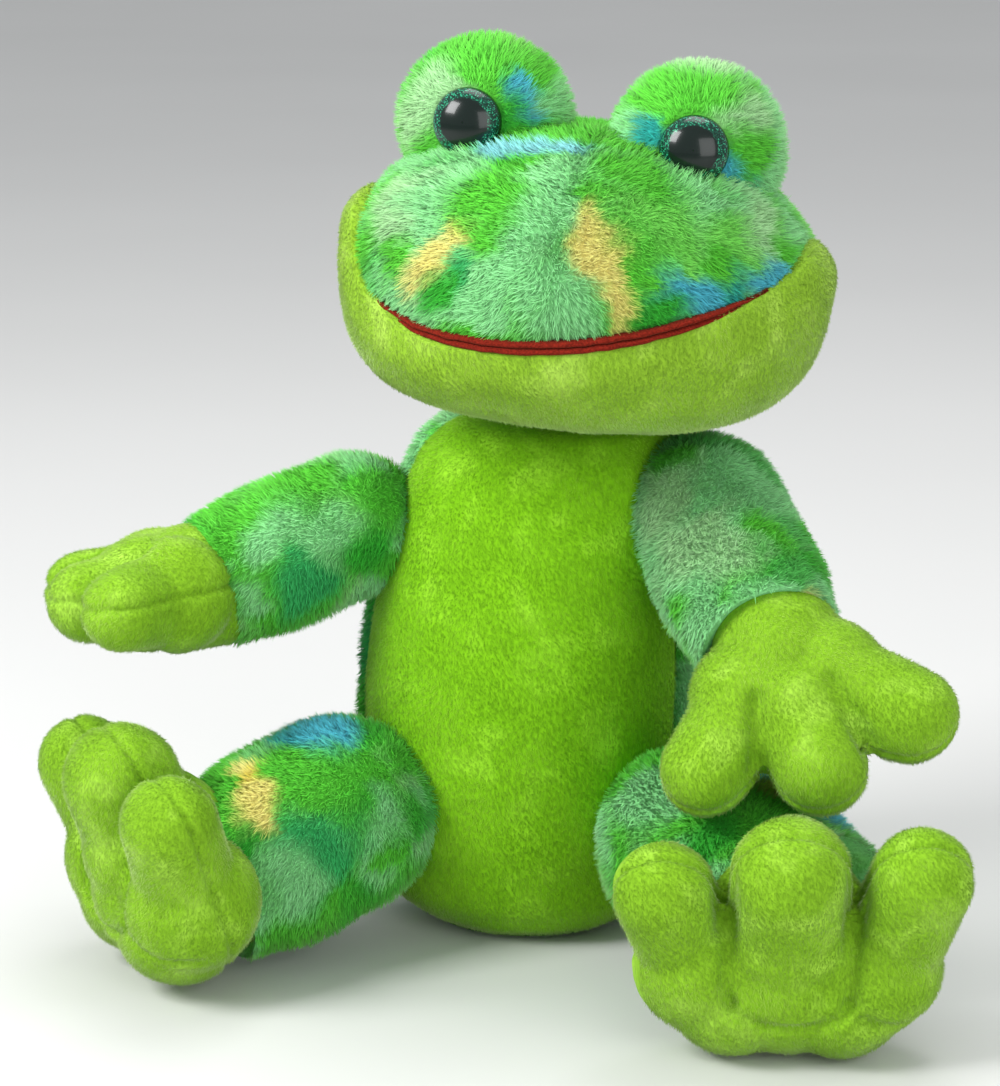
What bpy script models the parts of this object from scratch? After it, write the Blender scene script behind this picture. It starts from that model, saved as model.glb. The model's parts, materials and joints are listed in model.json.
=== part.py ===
"""Frog hand puppet: sewn covers, linings and fillings as separate solids, posed sitting.

The frog faces -Y, +X is its left side and +Z is up, in metres. The origin is the centre of
the flat seat. Every cover is a thin shell with its filling inside it, and each part that
flexes is parented to an empty on its joint.
"""
import math

import bmesh
import bpy
from mathutils import Matrix, Vector

# ---- cloth, gaps and smoothness -------------------------------------------------------
CLOTH = 0.0015          # thickness of the fur and fleece covers
LINING = 0.0010         # thickness of the linings
GAP = 0.0004            # clearance between pieces that touch
FILL_INSET = CLOTH + 0.0014     # a filling's skin under its cover's skin
SEGMENTS = 20           # points around a body or limb section

# ---- torso: height, half width, half depth, centre x, centre y ------------------------
TORSO = [
    (0.010, 0.045, 0.040, 0.000, 0.000),
    (0.030, 0.053, 0.047, 0.000, 0.000),
    (0.060, 0.059, 0.051, 0.000, 0.000),
    (0.095, 0.060, 0.051, 0.001, 0.000),
    (0.130, 0.056, 0.047, 0.004, 0.001),
    (0.155, 0.0515, 0.044, 0.0075, 0.004),
    (0.173, 0.049, 0.041, 0.0095, 0.008),
    (0.184, 0.038, 0.033, 0.013, 0.011),
]
SEAT_RADII = (0.034, 0.030)     # flat of the seat
SEAT_EDGE = (0.0435, 0.0385, 0.0092)    # rim of the seat panel: half width, half depth, height
BELLY_ARC = 76.0                # belly panel reaches this far round from the front, degrees
OPENING_ARC = 42.0              # half angle of the hand opening at the back, degrees
OPENING_Z = (0.024, 0.082)      # bottom and top of the hand opening
PANEL_SEAM = 0.7                # half gap between the belly and back panels, degrees

# ---- hand sleeve: height, half width, half depth, centre x, centre y -------------------
SLEEVE = [
    (0.020, 0.0390, 0.0235, 0.000, 0.0130),
    (0.050, 0.0445, 0.0270, 0.000, 0.0145),
    (0.090, 0.0455, 0.0280, 0.001, 0.0150),
    (0.140, 0.0400, 0.0260, 0.006, 0.0150),
    (0.183, 0.0320, 0.0250, 0.013, 0.0130),
]
BELLY_FILL_BACK = -0.0145       # flat back of the belly filling, in front of the sleeve
PELLET_BAG = (0.034, 0.029, 0.0030, 0.0180)     # half width, half depth, bottom, top

# ---- neck -----------------------------------------------------------------------------
NECK = (0.016, 0.014)           # centre x and y
NECK_RADII = (0.0335, 0.0275)
NECK_WALL = 0.0022
COLLAR_Z = (0.1850, 0.1885)
NECK_Z = (0.1895, 0.1985)
NOD_SLOPES = (7.0, 14.0)        # underside of the neck, front and back, degrees

# ---- head -----------------------------------------------------------------------------
HEAD = Vector((0.022, -0.018, 0.244))
HEAD_RADII = (0.0875, 0.0860)    # at the jaw
HEAD_TOP_RADII = (0.0835, 0.0830)   # at the fur, which stands out past the jaw's fleece
HEAD_UP = 0.053
HEAD_DOWN = 0.041
HEAD_ROLL = 6.0                 # the frog's left cheek is the lower one, degrees
MOUTH = (0.0245, 0.2365, 0.055, 2.19)   # centre x, height there, slope, curvature
LIP = 0.0026                    # half gap between the covers at the mouth, for the linings
MOUTH_REACH = 0.95              # the mouth's half width as a part of the head's
HINGE_Y = -0.005                # mouth hinge, behind the corners of the mouth
JAW_BACK_SLOPE = 32.0           # slope of the jaw's back face, degrees
HEAD_BACK_SLOPE = 15.0          # slope of the head's face behind the jaw, degrees
UNDERSIDE = (0.2075, 0.35)      # underside of the back of the head: height at y = 0, slope
HEAD_FILL_FLOOR = 0.2725        # the head's filling starts above the finger pocket

# ---- eyes -----------------------------------------------------------------------------
MOUND_RADIUS = 0.0285
MOUND_AT = (0.0380, 0.008, 0.0535)      # side, back and up from the head's centre
MOUND_SHIFT = -0.0025                   # both mounds sit this far to the frog's right
EYE_TURN = {"r": -3.0, "l": 5.0}        # turned away from straight ahead, degrees
EYE_TILT = 11.0                         # looking up, degrees
IRIS_RADII = (0.0090, 0.0122)
IRIS_THICKNESS = 0.0022
DOME_RISE = 0.0058
SHANK_RADIUS = 0.0026
SHANK_LENGTH = 0.0120
WASHER_RADIUS = 0.0078

# ---- limbs: radius at the seam to the body, at the thick part, and at the end ----------
LIMBS = {
    "arm_r": {"from": (-0.068, -0.009, 0.1490), "to": (-0.1060, -0.0400, 0.1365),
              "radii": (0.0200, 0.0258, 0.0225)},
    "arm_l": {"from": (0.0762, -0.0140, 0.1570), "to": (0.1000, -0.0720, 0.1310),
              "radii": (0.0200, 0.0262, 0.0235)},
    "leg_r": {"from": (-0.0592, -0.0466, 0.0345), "to": (-0.0965, -0.0780, 0.0350),
              "radii": (0.0225, 0.0310, 0.0290)},
    "leg_l": {"from": (0.0592, -0.0478, 0.0345), "to": (0.1085, -0.1060, 0.0330),
              "radii": (0.0225, 0.0310, 0.0290)},
}
CUFF_SETBACK = 0.0055           # an open cuff stops this far before its joint
FILL_SETBACK = 0.0012           # a filling's rounded end stops this far before its joint

# ---- paws: balls as (along, across, up, radius) from the wrist or ankle, and fingers and
# ---- toes as (across, along or up, radius) at the tip ----------------------------------
HAND_BALLS = [(0.010, 0.000, 0.000, 0.0240), (0.028, 0.000, 0.000, 0.0230)]
HAND_FINGERS = [(-0.035, 0.043, 0.0158), (0.000, 0.052, 0.0168), (0.036, 0.044, 0.0158)]
FINGER_ROOT = (0.026, 0.45)     # how far along it starts, and its part of the tip's across
FOOT_BALLS = [(0.015, 0.000, -0.003, 0.0300), (0.021, 0.000, 0.014, 0.0280),
              (0.020, -0.020, -0.006, 0.0250), (0.020, 0.020, -0.006, 0.0250)]
FOOT_TOES = [(-0.038, 0.038, 0.0172), (0.000, 0.044, 0.0205), (0.040, 0.039, 0.0172)]
TOE_ROOT = (0.004, 0.62)        # how far up it starts, and its part of the tip's across
FOOT_LEAN = {"r": 20.0, "l": 28.0}      # toes forward of the heel, degrees
PAW_VOXEL = 0.0075
PAW_SHRINK = 0.0050     # a paw filling's balls are this much smaller than its cover's
PAW_DECIMATE = 0.36

HAND_AIM = {
    "r": {"along": (-0.86, -0.50, -0.05), "across": (0.45, -0.82, 0.10)},
    "l": {"along": (0.30, -0.62, -0.66), "across": (0.95, 0.13, 0.16)},
}
FOOT_AIM = {"r": (-0.80, -0.60, 0.0), "l": (0.13, -0.99, 0.0)}      # the way each sole faces

COLOURS = {
    "fur": (0.11, 0.45, 0.10), "fleece": (0.24, 0.48, 0.03), "lining": (0.30, 0.50, 0.30),
    "mouth": (0.30, 0.03, 0.01), "fill": (0.85, 0.85, 0.82), "card": (0.45, 0.36, 0.25),
    "iris": (0.02, 0.12, 0.09), "pupil": (0.004, 0.010, 0.008), "washer": (0.7, 0.7, 0.7),
    "pellets": (0.75, 0.75, 0.72),
}
GLOSSY = {"pupil": 0.08, "iris": 0.35, "washer": 0.45}


# ---- scene ----------------------------------------------------------------------------
def clear_scene():
    """Remove every object, so that the script can run in an open file."""
    for old in list(bpy.data.objects):
        bpy.data.objects.remove(old, do_unlink=True)


def new_collection(name):
    group = bpy.data.collections.new(name)
    bpy.context.scene.collection.children.link(group)
    return group


def material(node, kind):
    """A material of the node's own, in its kind's colour."""
    mat = bpy.data.materials.new(node)
    mat.use_nodes = True
    shader = mat.node_tree.nodes["Principled BSDF"]
    shader.inputs["Base Color"].default_value = (*COLOURS[kind], 1.0)
    shader.inputs["Roughness"].default_value = GLOSSY.get(kind, 0.9)
    shader.inputs["Metallic"].default_value = 0.0
    return mat


clear_scene()
PARTS = new_collection("frog_hand_puppet")
CUTTERS = new_collection("cutters")
PIVOTS = {}


def pivot(body, place):
    """An empty on a body's joint, which that body's pieces are parented to."""
    empty = bpy.data.objects.new("pivot_" + body, None)
    empty.location = place
    PARTS.objects.link(empty)
    PIVOTS[body] = empty
    return Vector(place)


def add_piece(node, mesh, kind, body=None):
    """Link a mesh as a named piece with its own material, parented to its body's pivot."""
    piece = bpy.data.objects.new(node, mesh)
    mesh.materials.append(material(node, kind))
    PARTS.objects.link(piece)
    if body:
        empty = PIVOTS[body]
        piece.parent = empty
        piece.matrix_parent_inverse = Matrix.Translation(empty.location).inverted()
    mesh.shade_smooth()
    mesh.set_sharp_from_angle(angle=math.radians(40))
    return piece


def add_cutter(name, mesh):
    cutter = bpy.data.objects.new(name, mesh)
    CUTTERS.objects.link(cutter)
    cutter.hide_render = True
    cutter.display_type = "WIRE"
    return cutter


def thicken(piece, thickness, offset=-1.0):
    """Turn an open surface into a shell, growing inwards by default."""
    solid = piece.modifiers.new("thickness", "SOLIDIFY")
    solid.thickness = thickness
    solid.offset = offset
    solid.use_even_offset = True


def cut(piece, cutter):
    boolean = piece.modifiers.new("cut_" + cutter.name, "BOOLEAN")
    boolean.operation = "DIFFERENCE"
    boolean.object = cutter
    boolean.solver = "EXACT"


def mesh_from(bm, name):
    bmesh.ops.recalc_face_normals(bm, faces=bm.faces)
    mesh = bpy.data.meshes.new(name)
    bm.to_mesh(mesh)
    bm.free()
    return mesh


# ---- lofts ----------------------------------------------------------------------------
def loft(name, rings, wrap=True, caps=(True, True), skip=None):
    """Skin a list of rings. A cap is a flat face on a ring; skip(i, j) leaves out a face."""
    bm = bmesh.new()
    rows = [[bm.verts.new(p) for p in ring] for ring in rings]
    count = len(rings[0])
    for i in range(len(rows) - 1):
        for j in range(count if wrap else count - 1):
            if skip and skip(i, j):
                continue
            k = (j + 1) % count
            bm.faces.new((rows[i][j], rows[i][k], rows[i + 1][k], rows[i + 1][j]))
    for row, capped in ((rows[0], caps[0]), (rows[-1], caps[1])):
        if capped:
            bm.faces.new(row)
    loose = [v for v in bm.verts if not v.link_faces]
    bmesh.ops.delete(bm, geom=loose, context="VERTS")
    return mesh_from(bm, name)


def arc_angles(first, last, count):
    step = (last - first) / count
    return [math.radians(first + step * k) for k in range(count + 1)]


def flat_ring(station, angles, inset=0.0):
    """Points round an ellipse at a height; angle 0 is the front, 90 degrees the frog's left."""
    z, half_x, half_y, cx, cy = station
    return [(cx + (half_x - inset) * math.sin(a), cy - (half_y - inset) * math.cos(a), z)
            for a in angles]


def circle_angles(count=SEGMENTS):
    return arc_angles(0.0, 360.0, count)[:-1]


def station_at(table, z):
    """The section of a table of stations at a height between two of its rows."""
    for low, high in zip(table, table[1:]):
        if low[0] <= z <= high[0]:
            t = (z - low[0]) / (high[0] - low[0])
            return tuple(a + (b - a) * t for a, b in zip(low, high))
    raise ValueError("height outside the table")


def limb_frame(start, end):
    along = (end - start).normalized()
    side = along.cross(Vector((0, 0, 1))).normalized()
    return along, side, side.cross(along)


def round_ring(centre, side, up, radius, count=SEGMENTS - 4):
    return [centre + radius * (side * math.cos(a) + up * math.sin(a)) for a in circle_angles(count)]


# ---- torso ----------------------------------------------------------------------------
def torso_stations():
    """The torso's stations with one at each edge of the hand opening."""
    heights = sorted({row[0] for row in TORSO} | set(OPENING_Z))
    return [station_at(TORSO, z) for z in heights]


def build_torso_covers():
    stations = torso_stations()
    front = arc_angles(-BELLY_ARC + PANEL_SEAM, BELLY_ARC - PANEL_SEAM, 10)
    rings = [flat_ring(s, front) for s in stations]
    belly = add_piece("belly_panel", loft("belly_panel", rings, wrap=False, caps=(False, False)), "fleece")
    thicken(belly, CLOTH)

    side = BELLY_ARC + PANEL_SEAM
    opening = 180.0 - OPENING_ARC
    back = (arc_angles(side, opening, 4)[:-1] + arc_angles(opening, 360.0 - opening, 6)
            + arc_angles(360.0 - opening, 360.0 - side, 4)[1:])
    rows = [i for i, s in enumerate(stations) if OPENING_Z[0] <= s[0] < OPENING_Z[1]]
    rings = [flat_ring(s, back) for s in stations]
    mesh = loft("back_panel", rings, False, (False, False), lambda i, j: i in rows and 4 <= j < 10)
    thicken(add_piece("back_panel", mesh, "fur"), CLOTH)


def build_seat():
    """A dished panel under the torso, flat where it sits, and the bag of pellets in it."""
    half_x, half_y, top = SEAT_EDGE
    angles = circle_angles()
    cy = TORSO[0][4]
    rings = [flat_ring((0.0, *SEAT_RADII, 0.0, cy), angles),
             flat_ring((0.0022, 0.0405, 0.0355, 0.0, cy), angles),
             flat_ring((top, half_x, half_y, 0.0, cy), angles)]
    thicken(add_piece("seat_panel", loft("seat_panel", rings, caps=(True, False)), "fur"), CLOTH)
    half_x, half_y, low, high = PELLET_BAG
    middle = (low + high) / 2
    rings = [flat_ring((low, half_x * 0.8, half_y * 0.8, 0.0, cy), angles),
             flat_ring((middle, half_x, half_y, 0.0, cy), angles),
             flat_ring((high, half_x * 0.8, half_y * 0.8, 0.0, cy), angles)]
    add_piece("pellet_bag", loft("pellet_bag", rings), "pellets")


def build_belly_filling():
    """A D-shaped pad in front of the hand sleeve, inside the belly panel."""
    rings = []
    for row in [station_at(TORSO, 0.021)] + TORSO[1:-1] + [station_at(TORSO, 0.1800)]:
        z, half_x, half_y, cx, cy = row
        reach = (cy - BELLY_FILL_BACK) / (half_y - FILL_INSET)
        limit = math.degrees(math.acos(min(max(reach, -1.0), 1.0))) - 4.0
        limit = min(limit, BELLY_ARC - 4.0)
        ring = flat_ring(row, arc_angles(-limit, limit, 10), FILL_INSET)
        left, right = ring[0][0], ring[-1][0]
        ring += [(right * 0.9 + left * 0.1, BELLY_FILL_BACK, z), (left * 0.9 + right * 0.1, BELLY_FILL_BACK, z)]
        rings.append(ring)
    add_piece("belly_filling", loft("belly_filling", rings), "fill")


def build_sleeve():
    """The lining that a hand goes into: closed below, open at the back and at the neck."""
    heights = sorted({row[0] for row in SLEEVE} | set(OPENING_Z))
    opening = 180.0 - OPENING_ARC
    around = (arc_angles(-180.0 + OPENING_ARC, opening, 14)[:-1]
              + arc_angles(opening, 180.0 + OPENING_ARC, 6)[:-1])
    rings = [flat_ring(station_at(SLEEVE, z), around) for z in heights]
    rows = [i for i, z in enumerate(heights) if OPENING_Z[0] <= z < OPENING_Z[1]]
    mesh = loft("hand_sleeve", rings, True, (True, False), lambda i, j: i in rows and j >= 14)
    thicken(add_piece("hand_sleeve", mesh, "lining"), LINING)


def build_opening_binding():
    """Binding tape sewn round the edge of the hand opening."""
    low, high = OPENING_Z
    radius = 0.0014
    stand_off = -(radius + 0.0012)
    opening = 180.0 - OPENING_ARC
    across = arc_angles(opening, 360.0 - opening, 6)
    heights = [low + (high - low) * k / 5 for k in range(6)]
    points = flat_ring(station_at(TORSO, low), across, stand_off)
    points += [flat_ring(station_at(TORSO, z), across[-1:], stand_off)[0] for z in heights[1:-1]]
    points += flat_ring(station_at(TORSO, high), across[::-1], stand_off)
    points += [flat_ring(station_at(TORSO, z), across[:1], stand_off)[0] for z in heights[-2:0:-1]]
    curve = bpy.data.curves.new("opening_binding", "CURVE")
    curve.dimensions = "3D"
    curve.bevel_depth = radius
    curve.bevel_resolution = 1
    spline = curve.splines.new("POLY")
    spline.points.add(len(points) - 1)
    for target, point in zip(spline.points, points):
        target.co = (*point, 1.0)
    spline.use_cyclic_u = True
    binding = bpy.data.objects.new("opening_binding", curve)
    curve.materials.append(material("opening_binding", "fleece"))
    PARTS.objects.link(binding)


# ---- neck -----------------------------------------------------------------------------
def wall_rings(low, high, slopes=(0.0, 0.0)):
    """Inner and outer rings of a low wall; slopes lift its underside before and behind y0."""
    cx, cy = NECK
    half_x, half_y = NECK_RADII
    angles = circle_angles()
    outer, inner = [], []
    for inset, store in ((0.0, outer), (NECK_WALL, inner)):
        bottom = flat_ring((low, half_x, half_y, cx, cy), angles, inset)
        top = flat_ring((high, half_x, half_y, cx, cy), angles, inset)
        lift = [math.tan(math.radians(slopes[1 if y > cy else 0])) * abs(y - cy) for _, y, _ in bottom]
        store.append([(x, y, z + rise) for (x, y, z), rise in zip(bottom, lift)])
        store.append([(x, y, z + rise * 0.4) for (x, y, z), rise in zip(top, lift)])
    return [outer[0], outer[1], inner[1], inner[0], outer[0]]


def build_wall(node, kind, body, low, high, slopes=(0.0, 0.0)):
    rings = wall_rings(low, high, slopes)
    bm = bmesh.new()
    rows = [[bm.verts.new(p) for p in ring] for ring in rings[:4]]
    count = len(rings[0])
    for i in range(4):
        for j in range(count):
            k = (j + 1) % count
            bm.faces.new((rows[i][j], rows[i][k], rows[(i + 1) % 4][k], rows[(i + 1) % 4][j]))
    add_piece(node, mesh_from(bm, node), kind, body)


# ---- head -----------------------------------------------------------------------------
ROLL = Matrix.Rotation(math.radians(HEAD_ROLL), 3, "Y")


def head_point(azimuth, latitude, inset, upper):
    """A point of the head's skin; azimuth 0 is the front, latitude 90 degrees the crown."""
    height = HEAD_UP if latitude >= 0 else HEAD_DOWN
    half_x, half_y = HEAD_TOP_RADII if upper else HEAD_RADII
    ring = math.cos(latitude) ** 0.85
    local = Vector(((half_x - inset) * ring * math.sin(azimuth),
                    -(half_y - inset) * ring * math.cos(azimuth),
                    (height - inset) * math.sin(latitude)))
    return HEAD + ROLL @ local


def mouth_height(x):
    centre, height, slope, curve = MOUTH
    side = x - centre
    return height + slope * side + curve * side * side


def mouth_latitude(azimuth, offset, inset, upper):
    """The latitude where the head's skin meets the mouth's surface plus an offset."""
    low, high = math.radians(-60), math.radians(60)
    for _ in range(30):
        middle = (low + high) / 2
        p = head_point(azimuth, middle, inset, upper)
        if p.z < mouth_height(p.x) + offset:
            low = middle
        else:
            high = middle
    return (low + high) / 2


def head_half(upper, inset=0.0, rows=6, offset=LIP, closed=False):
    """Half of the head's skin, from the mouth's surface to the crown or the chin.

    It is open at the mouth unless closed, when a cap follows the mouth's surface.
    """
    sign = 1.0 if upper else -1.0
    pole = math.radians(90) * sign
    angles = circle_angles(28)
    starts = [mouth_latitude(a, offset * sign, inset, upper) for a in angles]
    rings = []
    for i in range(rows):
        t = i / rows
        rings.append([head_point(a, s + (pole - s) * t, inset, upper) for a, s in zip(angles, starts)])
    if closed:
        rim = rings[0]
        for t in (0.67, 0.34):
            flat = [HEAD.lerp(p, t) for p in rim]
            rings.insert(0, [Vector((p.x, p.y, mouth_height(p.x) + offset * sign)) for p in flat])
    bm = bmesh.new()
    grid = [[bm.verts.new(p) for p in ring] for ring in rings]
    tips = [(grid[-1], bm.verts.new(head_point(0.0, pole, inset, upper)))]
    if closed:
        tips.append((grid[0], bm.verts.new((HEAD.x, HEAD.y, mouth_height(HEAD.x) + offset * sign))))
    count = len(angles)
    for low, high in zip(grid, grid[1:]):
        for j in range(count):
            k = (j + 1) % count
            bm.faces.new((low[j], low[k], high[k], high[j]))
    for ring, tip in tips:
        for j in range(count):
            bm.faces.new((ring[j], ring[(j + 1) % count], tip))
    bmesh.ops.recalc_face_normals(bm, faces=bm.faces)
    if sum((f.calc_center_median() - HEAD).dot(f.normal) for f in bm.faces) < 0:
        bmesh.ops.reverse_faces(bm, faces=bm.faces)
    return bm


def slice_off(bm, point, normal, fill=False):
    """Cut a mesh at a plane and drop what is on the side its normal points to."""
    geom = bm.verts[:] + bm.edges[:] + bm.faces[:]
    made = bmesh.ops.bisect_plane(bm, geom=geom, plane_co=point, plane_no=normal, clear_outer=True,
                                  dist=1e-6)
    if fill:
        edges = [e for e in made["geom_cut"] if isinstance(e, bmesh.types.BMEdge)]
        bmesh.ops.contextual_create(bm, geom=edges)
    return bm


def finish_mesh(bm, name):
    mesh = bpy.data.meshes.new(name)
    bm.to_mesh(mesh)
    bm.free()
    return mesh


def slice_at_hinge(bm, lean, forward, step, fill=False):
    """Keep what is before (or behind) the mouth hinge, with a leaning face below it."""
    sign = 1.0 if forward else -1.0
    place = Vector((0, HINGE_Y - step * sign, MOUTH[1]))
    slice_off(bm, place, Vector((0, sign, 0)), fill)
    angle = math.radians(lean)
    slice_off(bm, place, Vector((0, sign * math.cos(angle), -math.sin(angle))), fill)


def build_head_covers():
    bm = head_half(True)
    thicken(add_piece("head_top", finish_mesh(bm, "head_top"), "fur", "head"), CLOTH)
    bm = head_half(False)
    slice_at_hinge(bm, HEAD_BACK_SLOPE, False, 0.0020)
    level, slope = UNDERSIDE
    slice_off(bm, Vector((0, 0, level)), Vector((0, slope, -1.0)).normalized())
    thicken(add_piece("head_back", finish_mesh(bm, "head_back"), "fleece", "head"), CLOTH)
    bm = head_half(False)
    slice_at_hinge(bm, JAW_BACK_SLOPE, True, 0.0020)
    thicken(add_piece("jaw_cover", finish_mesh(bm, "jaw_cover"), "fleece", "jaw"), CLOTH)


def build_head_fillings():
    bm = head_half(True, FILL_INSET, rows=5, offset=0.012)
    slice_off(bm, Vector((0, 0, HEAD_FILL_FLOOR)), Vector((0, 0, -1)), fill=True)
    add_piece("head_filling", finish_mesh(bm, "head_filling"), "fill", "head")
    bm = head_half(False, FILL_INSET, rows=5, offset=0.0052, closed=True)
    slice_at_hinge(bm, JAW_BACK_SLOPE, True, 0.0040, fill=True)
    filling = add_piece("jaw_filling", finish_mesh(bm, "jaw_filling"), "fill", "jaw")
    cut(filling, box_cutter("thumb_room", THUMB_ROOM))


def box_cutter(name, box):
    low, high = Vector(box[0]), Vector(box[1])
    bm = bmesh.new()
    bmesh.ops.create_cube(bm, size=1.0)
    for v in bm.verts:
        v.co = Vector([low[k] + (v.co[k] + 0.5) * (high[k] - low[k]) for k in range(3)])
    return add_cutter(name, mesh_from(bm, name))


THUMB_ROOM = ((0.004, -0.0790, 0.2140), (0.040, 0.0300, 0.2450))
THUMB_POCKET = ((0.0065, -0.0760, 0.2165), (0.0375, -0.0230, 0.2300))
FINGER_POCKET = ((-0.015, -0.0850, 0.2480), (0.059, -0.0020, 0.2705))


def build_pocket(node, body, box):
    """A flat lining pocket for fingers or thumb, open at the back."""
    (x0, y0, z0), (x1, y1, z1) = box
    cx, cz = (x0 + x1) / 2, (z0 + z1) / 2
    rings = []
    for y, size in ((y0, 0.72), (y0 + 0.006, 0.92), (y0 + 0.018, 1.0), (y1, 1.0)):
        half_x, half_z = (x1 - x0) / 2 * size, (z1 - z0) / 2 * size
        ring = []
        for a in circle_angles(16):
            c, s = math.cos(a), math.sin(a)
            ring.append((cx + half_x * math.copysign(abs(c) ** 0.5, c), y,
                         cz + half_z * math.copysign(abs(s) ** 0.5, s)))
        rings.append(ring)
    thicken(add_piece(node, loft(node, rings, caps=(True, False)), "lining", body), LINING)


def mouth_outline(x, inset):
    """The y of the mouth's front edge at an x, on the head's skin less an inset."""
    side = (x - HEAD.x) / (HEAD_RADII[0] - inset)
    return HEAD.y - (HEAD_RADII[1] - inset) * math.sqrt(max(1.0 - side * side, 0.0))


def build_mouth_sheet(node, kind, body, offset, thickness, inset):
    """A sheet of the mouth: it follows the mouth's curve and stops before the hinge."""
    half = (HEAD_RADII[0] - inset) * MOUTH_REACH
    back = HINGE_Y - 0.0022
    rings = []
    columns = 16
    for k in range(columns + 1):
        x = HEAD.x + half * math.sin(math.radians(-90 + 180 * k / columns))
        front = mouth_outline(x, inset)
        z = mouth_height(x) + offset
        ys = [front + (back - front) * t / 3 for t in range(4)]
        rings.append([(x, y, z) for y in ys] + [(x, y, z + thickness) for y in reversed(ys)])
    add_piece(node, loft(node, rings), kind, body)


def build_mouth():
    felt = 0.0009
    board = 0.0016
    build_mouth_sheet("upper_mouth_lining", "mouth", "head", 0.00035, felt, -0.0005)
    build_mouth_sheet("upper_mouth_board", "card", "head", 0.00035 + felt + GAP, board, 0.0110)
    build_mouth_sheet("lower_mouth_lining", "mouth", "jaw", -0.00035 - felt, felt, -0.0005)
    build_mouth_sheet("lower_mouth_board", "card", "jaw", -0.00035 - felt - GAP - board, board, 0.0110)


def build_mouth_fold():
    """The folded tape across the back of the mouth, which the boards hinge on."""
    bm = bmesh.new()
    turn = Matrix.Translation((MOUTH[0], HINGE_Y, MOUTH[1])) @ Matrix.Rotation(math.radians(90), 4, "Y")
    bmesh.ops.create_cone(bm, cap_ends=True, segments=10, radius1=0.0013, radius2=0.0013,
                          depth=0.056, matrix=turn)
    add_piece("mouth_fold", mesh_from(bm, "mouth_fold"), "mouth", "neck")


# ---- eyes -----------------------------------------------------------------------------
def mound_centre(side):
    sign = 1.0 if side == "l" else -1.0
    return HEAD + ROLL @ Vector((MOUND_AT[0] * sign + MOUND_SHIFT, MOUND_AT[1], MOUND_AT[2]))


def eye_axis(side):
    turn = math.radians(EYE_TURN[side])
    tilt = math.radians(EYE_TILT)
    return Vector((math.sin(turn) * math.cos(tilt), -math.cos(turn) * math.cos(tilt), math.sin(tilt)))


def ball(name, centre, radius, segments=16, rings=10):
    bm = bmesh.new()
    bmesh.ops.create_uvsphere(bm, u_segments=segments, v_segments=rings, radius=radius,
                              matrix=Matrix.Translation(centre))
    return mesh_from(bm, name)


def head_cutter():
    """The upper half of the head, slightly swollen, to seat the eye mounds on."""
    return add_cutter("head_seat", finish_mesh(head_half(True, -0.0008, closed=True), "head_seat"))


def rod_cutter(name, centre, axis, start, end, radius):
    bm = bmesh.new()
    turn = axis.to_track_quat("Z", "Y").to_matrix().to_4x4()
    place = Matrix.Translation(centre + axis * (start + end) / 2) @ turn
    bmesh.ops.create_cone(bm, cap_ends=True, segments=14, radius1=radius, radius2=radius,
                          depth=end - start, matrix=place)
    return add_cutter(name, mesh_from(bm, name))


def turned(node, profile, centre, axis, kind, body, steps=16):
    """A turned piece: profile points are (radius, distance along the axis)."""
    mesh = bpy.data.meshes.new(node)
    mesh.from_pydata([(r, 0.0, h) for r, h in profile], [(k, k + 1) for k in range(len(profile) - 1)], [])
    piece = add_piece(node, mesh, kind, body)
    screw = piece.modifiers.new("turn", "SCREW")
    screw.steps = steps
    screw.render_steps = steps
    screw.use_merge_vertices = True
    screw.merge_threshold = 0.00001
    screw.use_normal_calculate = True
    turn = axis.to_track_quat("Z", "Y").to_matrix().to_4x4()
    base = Matrix.Translation(PIVOTS[body].location)
    piece.matrix_parent_inverse = Matrix.Identity(4)
    piece.matrix_local = base.inverted() @ Matrix.Translation(centre) @ turn
    return piece


def build_eye(side, seat):
    centre = mound_centre(side)
    axis = eye_axis(side)
    tag = "eye_" + side
    cover = add_piece(tag + "_mound", ball(tag + "_mound", centre, MOUND_RADIUS), "fur", "head")
    thicken(cover, CLOTH)
    cut(cover, seat)
    cut(cover, rod_cutter(tag + "_shank_hole", centre, axis, 0.020, 0.040, SHANK_RADIUS + GAP))
    filling = add_piece(tag + "_filling", ball(tag + "_filling", centre, MOUND_RADIUS - FILL_INSET - 0.0004),
                        "fill", "head")
    cut(filling, seat)
    cut(filling, rod_cutter(tag + "_washer_room", centre, axis, 0.017, 0.040, WASHER_RADIUS + 0.001))

    foot = MOUND_RADIUS + 0.0005
    inner, outer = IRIS_RADII
    ring = [(outer, foot + 0.0004), (outer - 0.0004, foot), (inner + 0.0002, foot),
            (inner + 0.0002, foot + IRIS_THICKNESS), (outer - 0.0016, foot + IRIS_THICKNESS),
            (outer, foot + 0.0004)]
    turned(tag + "_iris", ring[::-1], centre, axis, "iris", "head")
    start = foot + 0.0002
    rise = [(inner * math.cos(t), start + 0.0016 + DOME_RISE * math.sin(t))
            for t in (math.radians(90 - 15 * k) for k in range(7))]
    rise[0] = (0.0, rise[0][1])
    tail = [(inner, start), (SHANK_RADIUS, start), (SHANK_RADIUS, start - SHANK_LENGTH),
            (0.0, start - SHANK_LENGTH)]
    turned(tag + "_dome", (rise + tail)[::-1], centre, axis, "pupil", "head")
    top = MOUND_RADIUS - CLOTH - 0.0030
    wall = 0.0013
    bore = SHANK_RADIUS + GAP
    turned(tag + "_washer", [(WASHER_RADIUS, top), (WASHER_RADIUS, top - wall), (bore, top - wall),
                             (bore, top), (WASHER_RADIUS, top)], centre, axis, "washer", "head")


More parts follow.
